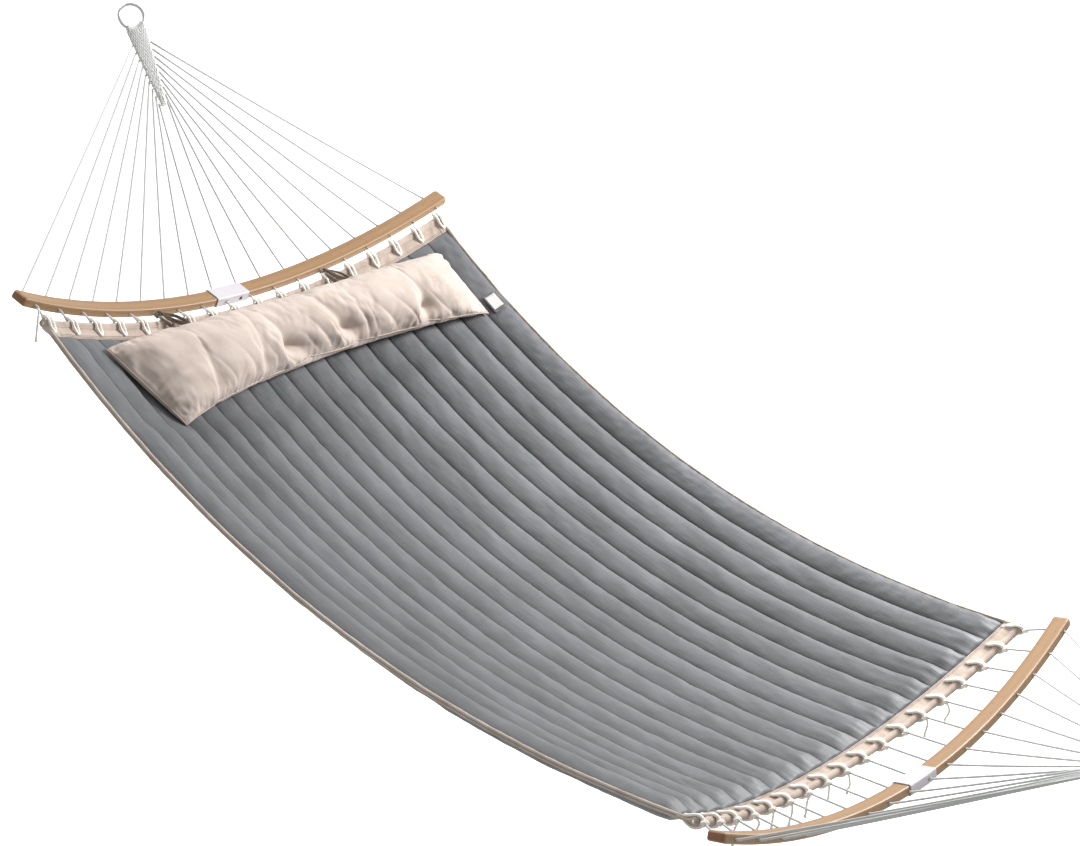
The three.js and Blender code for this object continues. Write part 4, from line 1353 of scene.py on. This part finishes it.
@dataclass
class QuiltedBed:
    """The padded bed of 19 sewn channels and the tape sewn along both its sides."""

    channels: int = 19
    half_width: float = 640.15
    crown: float = 16.0
    crest: float = 0.66  # share of a channel's width, from its near seam
    seam: float = 1.6
    across: int = 16  # facets over one channel
    rows: int = 210
    inset: float = 45.35  # of the quilt's ends from the hems' outer edges
    tape_line: float = 644.6
    tape_half: float = 5.4
    tape_rise: float = 5.6
    label_place: float = 295.0
    head: float = 0.0
    foot: float = 0.0

    def __post_init__(self) -> None:
        """Set where the quilt meets the hem bands."""
        self.head = SHAPE.along(HEAD.standoff, self.inset)
        self.foot = SHAPE.bar_span - SHAPE.along(FOOT.standoff, self.inset)

    def height(self, u: float, s: float, face: int) -> float:
        """Give the cloth's height over the middle of the bed on one face.

        Args:
            u: the place along the bed.
            s: the place across it.
            face: 1 on top and -1 below.

        Returns:
            The height in millimetres, positive on both faces.
        """
        wide = 2 * self.half_width / self.channels
        place = (s + self.half_width) / wide
        number = math.floor(place)
        share = place - number
        # The wadding gathers towards the far seam of each channel.
        off = (share - self.crest) / (1 - self.crest if share > self.crest else self.crest)
        near = max(0.0, -s / self.half_width)
        swell = max(0.0, 1 - off * off) ** (0.5 if share > self.crest else 0.78 + 0.24 * near)
        tone = wander(number * 3.7, u * 0.0035, face * 5.0)
        crown = self.crown * (0.97 + 0.12 * tone) * (1 + 0.3 * near)
        # The pillow and the label press the channels under them.
        pressed = clamp((350 - u) / 40) * clamp((660 - abs(s)) / 20)
        crown = lerp(crown, min(crown, 11.5), pressed)
        near_seam = math.exp(-4.5 * min(share, 1 - share))
        edge = max(0.0, 1 - (self.half_width - abs(s)) / (wide * 1.1)) if s > 0 else 0.0
        end = math.exp(-min(u - self.head, self.foot - u) / 80)
        pucker = wander(u * 0.055, number * 9.1 + (share > 0.5) * 4.0, s * 0.02)
        fold = wander(u * 0.017 + s * 0.03, s * 0.016 - u * 0.004, 2.0 * face)
        slant = wander(u * 0.021 - s * 0.024, s * 0.02, 11.0 * face)
        ridge = max(0.0, 1 - 2 * abs(slant)) ** 3
        gather = math.sin(u * 0.205 - s * 0.11 + 3 * fold) * edge * 1.5
        pull = wander(number * 5.3 + share * 5.0, u * 0.02, 31.0) * end * 5.0
        wrinkle = 1.6 * pucker * near_seam + 1.5 * fold + (0.9 + 1.6 * edge) * ridge
        return lerp(self.seam, crown, swell) + (wrinkle + gather + pull) * (0.2 + 0.8 * swell)

    def sway(self, u: float, s: float) -> float:
        """Give how far the hand-guided seams wander across the bed, in millimetres."""
        slow = wander(u * 0.006, s * 0.012, 21.0)
        quick = wander(u * 0.03, s * 0.02, 27.0)
        return (2.4 * slow + 1.1 * quick) * (1 - abs(s / self.half_width) ** 6)

    def quilt(self) -> None:
        """Build the quilt as one closed skin, marked for painted shade along its sewn lines."""
        count = self.across * self.channels
        rows, lengths, marks = [], [], []
        travelled = 0.0
        for line in range(self.rows + 1):
            u = lerp(self.head, self.foot, line / self.rows)
            row = []
            ends = min(1.0, 0.3 + min(line, self.rows - line) / 6)
            for face, order in ((-1, range(count + 1)), (1, range(count, -1, -1))):
                for step in order:
                    at = step % self.across
                    near = min(at, self.across - at)
                    # Facets crowd towards the seams, where the cloth turns down.
                    share = 0.5 - 0.5 * math.cos(math.pi * at / self.across)
                    place = (step // self.across + lerp(at / self.across, share, 0.75)) / self.channels
                    s = self.half_width * (2 * place - 1)
                    sway = self.sway(u, s)
                    h = self.height(u, s, face) * (ends if near else 1.0)
                    row.append(SHAPE.frame(SHAPE.bed(u, s + sway, face * h)))
                    # The mark paints shade into the valley of each sewn line and fades over the next
                    # three facets.
                    marks.append((1.0, 0.85, 0.35, 0.1)[near] if near < 4 else 0.0)
            rows.append(row)
            lengths.append(travelled)
            travelled += (self.foot - self.head) / self.rows * MM
        shell = Shell(marks=marks)
        size = len(rows[0])
        first = shell.strip(rows, lengths)
        last = first + self.rows * size
        for step in range(count):
            over = size - 1 - step
            shell.cap((first + step + 1, first + step, first + over, first + over - 1))
            shell.cap((last + step, last + step + 1, last + over - 1, last + over))
        piece = shell.finish("bed_quilt_padded", QUILT)
        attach(piece, "bed")
        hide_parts("bed_quilt")

    def stitches(self) -> None:
        """Sew the lines between the channels."""
        seams = []
        for line in range(1, self.channels):
            s = self.half_width * (2 * line / self.channels - 1)
            seam = []
            for step in range(160):
                u = lerp(self.head + 3, self.foot - 3, step / 159)
                sway = self.sway(u, s)
                h = self.height(u, s + 0.01, 1)
                seam.append(SHAPE.frame(SHAPE.bed(u, s + sway, h)))
            seams.append(seam)
        row = StitchRow(GREY_THREAD, spacing=5.0, length=3.4, radius=0.45)
        piece = row.build("bed_quilt_stitches", seams)
        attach(piece, "bed")

    def tape(self, u: float, side: int, turn: float, grow: float = 0.0) -> Vector:
        """Give a point round the folded tape: two beads, one over the other."""
        sway = 0.9 * wander(u * 0.02, side * 5.0, 1.0)
        pinch = 1 + 0.1 * wander(u * 0.05, turn, side * 3.0)
        waist = 0.72 + 0.28 * abs(math.sin(turn)) ** 0.9
        x = (self.tape_half * waist * pinch + grow) * math.cos(turn) * side
        # The label lies over the far tape and presses it flatter.
        pressed = 0.3 * math.exp(-(((u - self.label_place) / 34) ** 4)) if side > 0 else 0.0
        h = (self.tape_rise * pinch * (1 - pressed) + grow) * math.sin(turn)
        h += 0.8 * wander(u * 0.009, 7, side)
        return SHAPE.frame(SHAPE.bed(u, side * self.tape_line + x + sway, h))

    def piping(self, side: int) -> None:
        """Build the tape along a side, -1 for the near one, and the seams on its beads."""
        rows = []
        for line in range(281):
            u = lerp(self.head - 30, self.foot + 24, line / 280)
            turns = [side * math.tau * step / 22 for step in range(22)]
            rows.append([self.tape(u, side, turn) for turn in turns])
        name = "near_edge_piping" if side < 0 else "far_edge_piping"
        piece = lofted(rows).finish(f"{name}_cloth", PIPING)
        recalculate(piece)
        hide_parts(name)
        seams = []
        for turn in (0.0, math.pi * 0.62):
            places = [lerp(self.head, self.foot, step / 240) for step in range(241)]
            seams.append([self.tape(u, side, turn, 0.3) for u in places])
        row = StitchRow(spacing=4.2, length=3.0, radius=0.6)
        sewn = row.build(f"{name}_stitches", seams)
        for one in (piece, sewn):
            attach(one, "bed")

    def build(self) -> None:
        """Build the quilt, its sewn lines and the tape along both sides."""
        self.quilt()
        self.stitches()
        for side in (-1, 1):
            self.piping(side)


@dataclass
class Pillow:
    """The beige pillow at the head, which folds where the bed bends it."""

    length: float = 1100.0
    near_slant: float = 66.0
    near_depth: float = 213.0
    far_depth: float = 194.0
    thick: float = 100.0
    edge: float = 5.0
    back: float = 125.0
    back_bow: float = 46.0
    front_draw: float = 84.0
    shift: float = 18.0
    base: float = 14.1
    seam_height: float = 0.36
    rows: int = 200
    around: int = 60
    girth: float = 480.0  # of the cover, roughly
    frames: int = 26  # that the cloth takes to swell
    reach: float = 0.024  # metres that a point may move at most as it does
    # each fold's depth, width and overlap, then its share at turns of 0, 35, 75 and 115 degrees
    folds: tuple[tuple[float, ...], ...] = (
        (15.0, 0.036, 0.4, -0.770, -0.745, -0.718, -0.690),
        (20.0, 0.045, 0.5, -0.400, -0.387, -0.375, -0.340),
        (60.0, 0.075, 0.6, -0.065, -0.151, -0.205, -0.250),
        (54.0, 0.064, 0.6, 0.250, 0.215, 0.150, 0.100),
        (46.0, 0.052, 0.7, 0.675, 0.685, 0.690, 0.660),
    )
    # the same for the small ripples, which come in once the cover is filled
    ripples: tuple[tuple[float, ...], ...] = (
        (3.0, 0.020, 0.0, -0.620, -0.650, -0.690, -0.740),
        (4.0, 0.030, 0.0, -0.500, -0.500, -0.540, -0.600),
        (3.0, 0.020, 0.0, -0.330, -0.330, -0.360, -0.420),
        (7.0, 0.026, 0.0, -0.150, -0.240, -0.290, -0.350),
        (3.0, 0.020, 0.0, 0.010, -0.060, -0.120, -0.170),
        (6.0, 0.030, 0.0, 0.080, 0.030, -0.020, -0.080),
        (4.0, 0.018, 0.0, 0.180, 0.140, 0.070, 0.010),
        (8.0, 0.024, 0.0, 0.310, 0.310, 0.270, 0.210),
        (3.0, 0.018, 0.0, 0.360, 0.350, 0.330, 0.300),
        (5.0, 0.034, 0.0, 0.480, 0.440, 0.380, 0.320),
        (3.0, 0.018, 0.0, 0.630, 0.560, 0.500, 0.440),
        (3.0, 0.026, 0.0, 0.810, 0.760, 0.720, 0.680),
    )

    def swell(self, share: float) -> float:
        """Give the pillow's thickness at a share of its length from -1 to 1."""
        return lerp(self.edge, self.thick, max(0.0, 1 - abs(share) ** 3.2) ** 0.55)

    def place(self, share: float, across: float, over: float) -> Vector:
        """Give a point of the pillow on the bed.

        Args:
            share: place along the pillow, from -1 to 1.
            across: 0 at the back seam and 1 at the front seam.
            over: height over the quilt, in millimetres.

        Returns:
            The point, in metres in the CAD frame.
        """
        bow = 1 - share * share
        depth = lerp(self.near_depth, self.far_depth, (1 + share) / 2)
        back = self.back - self.back_bow * bow
        front = SHAPE.along(self.back, depth) - self.front_draw * bow
        s = self.shift + share * self.length / 2 + self.near_slant * across * (1 - share) / 2
        return SHAPE.frame(SHAPE.bed(lerp(back, front, across), s, self.base + over))

    def dent(
        self, table: tuple[tuple[float, ...], ...], share: float, turn: float
    ) -> tuple[float, float]:
        """Give how deep some folds press in at a place, and how far they pull it along.

        Args:
            table: the folds, or the ripples.
            share: place along the pillow, from -1 to 1.
            turn: angle round it in degrees, from 0 at the front seam over the top.

        Returns:
            The depth in millimetres, and the pull as a change of share.
        """
        ramp = math.exp(-(((turn - 36) / 30) ** 2)) + 0.14 * math.exp(-(((turn - 85) / 26) ** 2))
        knots = (0.0, 35.0, 75.0, 115.0)
        down, pull = 0.0, 0.0
        for depth, width, lap, *places in table:
            at = min(2, max(0, int((turn + 5) // 40)))
            way = min(1.4, max(0.0, (turn - knots[at]) / (knots[at + 1] - knots[at])))
            line = lerp(places[at], places[at + 1], way)
            wide = width * (1.25 - 0.5 * min(1.0, turn / 110))
            off = (share - line) / wide
            fall = 2.6 if off < 0 else 1.0  # steep on the near side, where the cloth laps over
            down += depth * ramp * (math.exp(-abs(off) * fall) - 0.1 * math.exp(-((off + 1.6) ** 2)))
            pull += lap * wide * ramp * math.exp(-((off + 0.7) ** 2) * 1.6)
        return down, -pull * 0.8

    def skin(self, share: float, step: int, flat: bool) -> Vector:
        """Give a point of the cover, as it lies on the bed or as it is cut and filled.

        Args:
            share: place along the pillow, from -1 to 1.
            step: place round it, 0 at the front seam.
            flat: True for the straight pillow, before the bed bends it.
        """
        thick = self.swell(share)
        seam = self.seam_height * thick
        turn = math.tau * step / self.around
        rise = math.sin(turn)
        over = (thick - seam) * max(0.0, rise) ** 0.8 - seam * max(0.0, -rise) ** 0.5
        across = (1 + math.cos(turn)) / 2
        if flat:
            depth = lerp(self.near_depth, self.far_depth, (1 + share) / 2) * 1.04
            return Vector((depth * across, share * self.length * 0.54, seam + over)) * MM
        down, pull = 0.0, 0.0
        if -0.01 <= rise and turn <= 2.6:
            down, pull = self.dent(self.folds, share, math.degrees(turn))
        inward = across - down * math.cos(turn) / self.far_depth * 0.9
        return self.place(share + pull, inward, seam + over - down * rise)

    def pinned(self, line: int, step: int) -> float:
        """Give how firmly a point of the cover is held while the rest of it swells."""
        ends = min(line, self.rows - line)
        if ends < 2 or step in (0, self.around // 2) or step > self.around * 0.53:
            return 1.0
        down, _ = self.dent(self.folds, self.share(line), 360 * step / self.around)
        return 1.0 if down > 6 else 0.0

    def share(self, line: float) -> float:
        """Give the place along the pillow of a row of points, from 1 to -1."""
        turn = 1 - 2 * line / self.rows
        return lerp(turn, math.sin(math.pi / 2 * turn), 0.55) * 0.9995

    def cover(self, flat: bool) -> list[list[Vector]]:
        """Give the cover's rows of points from the far end to the near end."""
        made = []
        for line in range(self.rows + 1):
            share = self.share(line)
            made.append([self.skin(share, step, flat) for step in range(self.around)])
        return made

    def fill(self, piece: bpy.types.Object) -> None:
        """Swell the cover with Blender's cloth, so that the bend and the folds crease it.

        Args:
            piece: the cover, bent and dented, with its points in rows.
        """
        start = [vertex.co.copy() for vertex in piece.data.vertices]
        piece.shape_key_add(name="bent")
        straight = piece.shape_key_add(name="straight")
        for at, point in enumerate(sum(self.cover(True), [])):
            straight.data[at].co = point
        straight.value = 0.0
        held = piece.vertex_groups.new(name="held")
        for at in range(len(start)):
            held.add([at], self.pinned(*divmod(at, self.around)), "REPLACE")
        cloth = piece.modifiers.new("cloth", "CLOTH")
        facts = {"quality": 7, "mass": 0.25, "tension_stiffness": 28.0}
        facts |= {"compression_stiffness": 28.0, "shear_stiffness": 9.0}
        facts |= {"bending_stiffness": 0.05, "air_damping": 3.0, "vertex_group_mass": "held"}
        facts |= {"pin_stiffness": 1.0, "rest_shape_key": straight, "shrink_min": -0.03}
        facts |= {"use_pressure": True, "uniform_pressure_force": 2.2}
        for name, value in facts.items():
            setattr(cloth.settings, name, value)
        cloth.settings.effector_weights.gravity = 0.0
        cloth.point_cache.frame_start = 1
        cloth.point_cache.frame_end = self.frames
        for frame in range(1, self.frames + 1):
            bpy.context.scene.frame_set(frame)
        settle(piece)
        bpy.context.scene.frame_set(1)
        for vertex, before in zip(piece.data.vertices, start):
            moved = vertex.co - before
            if moved.length > self.reach:
                vertex.co = before + moved * (self.reach / moved.length)

    def crease(self, piece: bpy.types.Object) -> None:
        """Add the small gathers at the seams and the soft ripples of the cover."""
        mesh = piece.data
        layer = mesh.uv_layers.active.data
        spots = {}
        for polygon in mesh.polygons:
            for corner, vertex in zip(polygon.loop_indices, polygon.vertices):
                spots[vertex] = layer[corner].uv
        normals = [vertex.normal.copy() for vertex in mesh.vertices]
        total = self.length * MM
        for vertex, normal in zip(mesh.vertices, normals):
            around, along = spots[vertex.index]
            end = max(0.0, min(along, total - along))
            seam = min(abs(around - 0.5), around, 1 - around)
            spot = vertex.co / MM
            x, y = around * self.girth, along / MM
            warp = 26 * wander(y * 0.011, x * 0.013, 5.0)
            gather = wander(spot.x * 0.08, spot.y * 0.012, 3.0)
            pull = wander(spot.y * 0.1, spot.x * 0.02, 9.0)
            over = wander((y + warp) * 0.024, (x + y) * 0.006, 1.0)
            down = wander(y * 0.009, (x + warp) * 0.028, 8.0)
            lift = 6.0 * gather * math.exp(-end / 0.08) + 2.2 * pull * math.exp(-seam / 0.06)
            lift += 2.4 * over + 1.6 * down
            if 0 < around < 0.45:
                share = self.share(along / total * self.rows)
                lift -= self.dent(self.ripples, share, around * 360)[0]
            vertex.co += normal * (lift * min(1.0, end / 0.012) * MM)

    def seams(self, points: Sequence[Vector]) -> list[list[Vector]]:
        """Give the paths of the sewn seam: along the front, the back and both ends."""
        half = self.around // 2
        front = [points[line * self.around] for line in range(self.rows + 1)]
        back = [points[line * self.around + half] for line in range(self.rows + 1)]
        ends = [points[: half + 1], points[-self.around : -self.around + half + 1]]
        return [front, back, *ends]

    def build(self) -> None:
        """Build the cover, its welt and the stitches beside it."""
        rows = self.cover(False)
        shell = Shell()
        lengths = [self.length * MM * line / self.rows for line in range(self.rows + 1)]
        first = shell.strip(rows, lengths)
        last = first + self.rows * self.around
        half = self.around // 2
        for step in range(half):
            across = self.around - step
            low, high = first + step, last + step
            back, over = first + across % self.around, last + across % self.around
            if step == 0:
                shell.cap((first, first + self.around - 1, first + 1))
                shell.cap((last, last + 1, last + self.around - 1))
            elif step == half - 1:
                shell.cap((low, back, first + half))
                shell.cap((high, last + half, over))
            else:
                shell.cap((low, back, back - 1, low + 1))
                shell.cap((high, high + 1, over - 1, over))
        piece = shell.finish("pillow_cover", PILLOW)
        self.fill(piece)
        points = [vertex.co.copy() for vertex in piece.data.vertices]
        fine = piece.modifiers.new("fine", "SUBSURF")
        fine.levels = fine.render_levels = 1
        settle(piece)
        self.crease(piece)
        piece.data.shade_smooth()
        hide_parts("pillow")
        paths = self.seams(points)
        welt = Shell()
        for path in paths:
            welt.tube(path, 1.5 * MM, 8)
        edge = welt.finish("pillow_welt", PILLOW)
        sewn = StitchRow(CREAM_THREAD, spacing=4.4, length=3.0, radius=0.4)
        beside = [[point + Vector((0, 0, 2.0 * MM)) for point in path] for path in paths[:2]]
        stitches = sewn.build("pillow_stitches", beside)
        for one in (piece, edge, stitches):
            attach(one, "pillow")


@dataclass
class Tie:
    """One ribbon of the pillow: sewn to its back seam, knotted to a cord, with a bow."""

    fan: CordFan
    pillow: Pillow
    number: int  # the cord that holds it, counted from the near side
    name: str
    width: float = 11.0
    thick: float = 1.0

    def strap(
        self, shell: Shell, points: Sequence[Vector], faces: Sequence[Vector], slim: float = 1.0
    ) -> None:
        """Add a flat ribbon along a path.

        Args:
            shell: the shell that takes it.
            points: its middle line, in this end's frame.
            faces: which way its flat side looks at each of the points.
            slim: share of the full width.
        """
        line, looks = spline(points, 6), spline(faces, 6)
        rows = []
        for at, point in enumerate(line):
            ahead, behind = line[min(at + 1, len(line) - 1)], line[max(at - 1, 0)]
            along = (ahead - behind).normalized()
            side = along.cross(looks[at]).normalized()
            over = side.cross(along)
            half = self.width / 2 * slim
            row = []
            for step in range(12):
                turn = math.tau * step / 12
                curl = 0.9 * math.cos(turn) ** 2
                lift = over * (math.sin(turn) * self.thick / 2 + curl)
                row.append(self.fan.bar.world(point + side * (math.cos(turn) * half) + lift))
            rows.append(row)
        shell.loft(rows)

    def build(self) -> None:
        """Build the ribbon from the seam to the cord, the knot, the bow and its ends."""
        bar = self.fan.bar
        index = self.number - 1
        leave, knot = self.fan.landing(index)
        hold = leave.lerp(knot, 0.3)
        beside = self.fan.station(index, self.fan.loop_pitch) + 12.5
        share = (beside - self.pillow.shift) / (self.pillow.length / 2)
        seam = self.pillow.place(share, 0.0, self.pillow.seam_height * self.pillow.swell(share))
        end = seam / MM - Vector(SHAPE.hook_offset)
        up = UPWARD
        shell = Shell()
        ring = [radial(hold, Vector((0, 1, 0)), up, 5.2, turn * math.tau / 8) for turn in range(9)]
        looks = [(point - hold).normalized() for point in ring]
        self.strap(shell, ring, looks, 0.75)
        lie = bar.bed(SHAPE.along(bar.standoff, 8), beside, 14.0)
        mid = bar.bed(SHAPE.along(bar.standoff, 26), beside + 3, 15.0)
        root = hold + Vector((1.5, 5.0, 4.0))
        self.strap(shell, [root, lie, mid, end], [up, up, up, up])
        lump = [root + Vector((x, y, z)) for x, y, z in ((-4, -5, -2), (0, 0, 3), (4, 5, 2))]
        self.strap(shell, lump, [up, Vector((1, 0, 0.3)), up], 0.9)
        for reach, swing, rise, tall in ((62, 12, 10, 1.0), (50, -24, 7, 0.9)):
            tip = root + Vector((reach, reach * 0.35 + swing, rise - reach * 0.16))
            side = (tip - root).cross(up).normalized() * 14
            loop = [root, root.lerp(tip, 0.45) + side + up * 5, tip, root.lerp(tip, 0.5) - side]
            looks = [side, side + up, tip - root, -side + up]
            self.strap(shell, [*loop, root + up], [*looks, -side], 0.8 * tall)
        for reach, swing in ((66, 48), (56, -10)):
            low = bar.bed(SHAPE.along(bar.standoff, 20), beside + swing * 0.6, 11.0)
            tip = bar.bed(SHAPE.along(bar.standoff, reach - 8), beside + swing, 12.0)
            self.strap(shell, [root, low, tip], [up, up, up + Vector((0, 0.4, 0))], 0.8)
        piece = shell.finish(f"{self.name}_ribbon", RIBBON)
        recalculate(piece)
        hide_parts(self.name)
        tuple(bar.world(mid))
        tuple(bar.world(end))
        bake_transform(piece)


@dataclass
class Label:
    """The label at the far edge: a dark folded tab with a bare pale square sewn on it."""

    low: float = 270.0
    high: float = 319.0
    inner: float = 586.0
    outer: float = 640.0
    square_along: tuple[float, float] = (275.0, 311.0)
    square_across: tuple[float, float] = (590.0, 623.0)
    inset: float = 2.0  # from the square's edge to its stitches

    def point(self, u: float, s: float, lift: float) -> Vector:
        """Give a point of the tab, which lies over the outermost channel."""
        rise = 13.0 - 9.0 * max(0.0, (s - 618.0) / 22.0) ** 1.4
        curl = 2.0 * math.exp(-(s - self.inner) / 9.0)
        return SHAPE.frame(SHAPE.bed(u, s, rise + curl + lift))

    def sheet(
        self, u: tuple[float, float], s: tuple[float, float], lift: float, thick: float
    ) -> Shell:
        """Build a thin closed sheet over a stretch of the tab."""
        rows = []
        for line in range(13):
            across = lerp(s[0], s[1], line / 12)
            top = [self.point(lerp(*u, step / 10), across, lift + thick) for step in range(11)]
            low = [self.point(lerp(*u, step / 10), across, lift) for step in range(10, -1, -1)]
            rows.append([*top, *low])
        return lofted(rows)

    def build(self) -> None:
        """Build the tab, the bare square and its stitches."""
        cloth = self.sheet((self.low, self.high), (self.inner, self.outer), 0.0, 1.3)
        piece = cloth.finish("label_tab", TAB)
        recalculate(piece)
        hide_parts("label_patch")
        bare = self.sheet(self.square_along, self.square_across, 1.5, 0.6)
        square = bare.finish("label_square", PATCH)
        recalculate(square)
        left, right = self.square_along[0] + self.inset, self.square_along[1] - self.inset
        near, far = self.square_across[0] + self.inset, self.square_across[1] - self.inset
        inside = [(left, near), (right, near), (right, far), (left, far), (left, near)]
        seam = []
        for (u, s), (to_u, to_s) in zip(inside, inside[1:]):
            seam += [self.point(lerp(u, to_u, k / 8), lerp(s, to_s, k / 8), 2.2) for k in range(8)]
        row = StitchRow(CREAM_THREAD, spacing=3.2, length=2.2, radius=0.3)
        sewn = row.build("label_stitches", [seam])
        for one in (piece, square, sewn):
            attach(one, "label")


@dataclass(frozen=True)
class Viewpoint:
    """The photograph's camera, found from the cord holes of both bars."""

    azimuth: float = 27.5644
    elevation: float = 28.5879
    roll: float = 21.1859
    target_across: float = 0.8235
    target_up: float = -0.3638
    distance: float = 5.8161
    focal: float = 2594.5  # pixels of a 1080 pixel wide picture
    centre: tuple[float, float] = (600.1, 453.0)
    size: tuple[int, int] = (1080, 846)
    sensor: float = 36.0

    def build(self) -> None:
        """Make the camera and give it to the scene."""
        az, el = math.radians(self.azimuth), math.radians(self.elevation)
        back = Vector((math.sin(az) * math.cos(el), -math.cos(az) * math.cos(el), math.sin(el)))
        right = UPWARD.cross(back).normalized()
        up = back.cross(right)
        turn = math.radians(self.roll)
        axes = (
            right * math.cos(turn) + up * math.sin(turn),
            up * math.cos(turn) - right * math.sin(turn),
            back,
        )
        target = Vector((self.target_across, self.target_up, self.distance))
        place = sum((axis * part for axis, part in zip(axes, target)), Vector())
        matrix = Matrix(axes).transposed().to_4x4()
        matrix.translation = place + Vector(SHAPE.hook_offset) * MM
        data = bpy.data.cameras.new("photo_camera")
        data.sensor_fit = "HORIZONTAL"
        data.sensor_width = self.sensor
        data.lens = self.focal * self.sensor / self.size[0]
        data.shift_x = (self.size[0] / 2 - self.centre[0]) / self.size[0]
        data.shift_y = (self.centre[1] - self.size[1] / 2) / self.size[0]
        data.clip_end = 100.0
        camera = add_object("photo_camera", data)
        camera.matrix_world = matrix
        bpy.context.scene.camera = camera


@dataclass(frozen=True)
class Lamp:
    """A round soft lamp: the way to it from the hammock's middle, its distance and its size."""

    name: str
    way: tuple[float, float, float]
    distance: float
    size: float
    power: float
    target: tuple[float, float, float] = (1.3, 0.0, -0.5)

    def build(self) -> None:
        """Make the lamp, which lights the hammock but isn't seen."""
        data = bpy.data.lights.new(self.name, "AREA")
        data.shape = "DISK"
        data.size = self.size
        data.energy = self.power
        target = Vector(self.target)
        place = target + Vector(self.way).normalized() * self.distance
        turn = (target - place).to_track_quat("-Z", "Y").to_matrix().to_4x4()
        made = add_object(self.name, data)
        made.matrix_world = Matrix.Translation(place) @ turn
        made.visible_camera = False


@dataclass(frozen=True)
class Studio:
    """A pale floor well under the hammock, a soft sky and two soft lamps at a plain level."""

    floor_height: float = -1.25
    floor_size: float = 30.0
    sky: float = 0.44
    paper: str = "#e9e9e8"
    glow: float = 0.72  # of the floor where the picture sees it
    lamps: tuple[Lamp, ...] = (
        Lamp("key_lamp", (0.2, 0.76, 0.64), 2.7, 1.0, 140.0),
        Lamp("head_lamp", (-0.8, 0.02, 0.6), 6.5, 2.6, 270.0),
    )

    def plain_rays(self, tree: bpy.types.NodeTree) -> Socket:
        """Give 1 for the rays that see the studio itself, in the picture or in a reflection."""
        rays, work = add_node(tree, "ShaderNodeLightPath").outputs, Pattern(tree).work
        seen = work("MAXIMUM", rays["Is Camera Ray"], rays["Is Glossy Ray"])
        return work("MAXIMUM", seen, rays["Is Transmission Ray"])

    def world(self) -> None:
        """Set the sky: white where the camera or a reflection sees it, softer as light."""
        world = bpy.data.worlds.new("studio_sky")
        bpy.context.scene.world = world
        world.use_nodes = True
        tree = world.node_tree
        tree.nodes.clear()
        levels = {0: self.plain_rays(tree), 2: self.sky, 3: 1.0}
        strength = add_node(tree, "ShaderNodeMix", levels, data_type="FLOAT")
        light = {"Color": (1.0, 1.0, 1.0, 1.0), "Strength": strength.outputs[0]}
        back = add_node(tree, "ShaderNodeBackground", light)
        add_node(tree, "ShaderNodeOutputWorld", {"Surface": back.outputs[0]})

    def floor(self) -> None:
        """Make the floor, which shows white but keeps the hammock's shadow."""
        half = self.floor_size / 2
        corners = [(-half, -half), (half, -half), (half, half), (-half, half)]
        mesh = bpy.data.meshes.new("studio_floor")
        mesh.from_pydata([(x, y, self.floor_height) for x, y in corners], [], [(0, 1, 2, 3)])
        made = bpy.data.materials.new("studio_paper")
        made.use_nodes = True
        tree = made.node_tree
        tree.nodes.clear()
        paper = add_node(tree, "ShaderNodeBsdfDiffuse", {"Color": srgb(self.paper)})
        glow = add_node(tree, "ShaderNodeEmission", {"Color": (1, 1, 1, 1), "Strength": self.glow})
        lit = add_node(tree, "ShaderNodeAddShader", {0: paper.outputs[0], 1: glow.outputs[0]})
        kinds = {0: self.plain_rays(tree), 1: paper.outputs[0], 2: lit.outputs[0]}
        mixed = add_node(tree, "ShaderNodeMixShader", kinds)
        add_node(tree, "ShaderNodeOutputMaterial", {"Surface": mixed.outputs[0]})
        mesh.materials.append(made)
        floor = add_object("studio_floor", mesh)
        floor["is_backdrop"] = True

    def build(self) -> None:
        """Build the sky, the floor and the lamps."""
        self.world()
        self.floor()
        for lamp in self.lamps:
            lamp.build()
        bpy.context.scene.view_settings.view_transform = "Standard"


def main() -> None:
    """Build the scene in order."""
    logging.basicConfig(level=logging.INFO, format="%(name)s %(message)s")
    cad_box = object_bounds()
    Viewpoint().build()
    Studio().build()
    for bar in (HEAD, FOOT):
        fan = CordFan(bar)
        for part in (fan, Hanger(fan), SpreaderBar(fan), Hem(fan)):
            part.build()
    pillow = Pillow()
    ties = [
        Tie(CordFan(HEAD), pillow, number, name)
        for number, name in ((6, "pillow_tie_near"), (13, "pillow_tie_far"))
    ]
    for part in (QuiltedBed(), pillow, *ties, Label()):
        part.build()
    boxes = {"cad": cad_box, "visual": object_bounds()}
    {name: [list(corner) for corner in box] for name, box in boxes.items()}


if __name__ == "__main__":
    main()
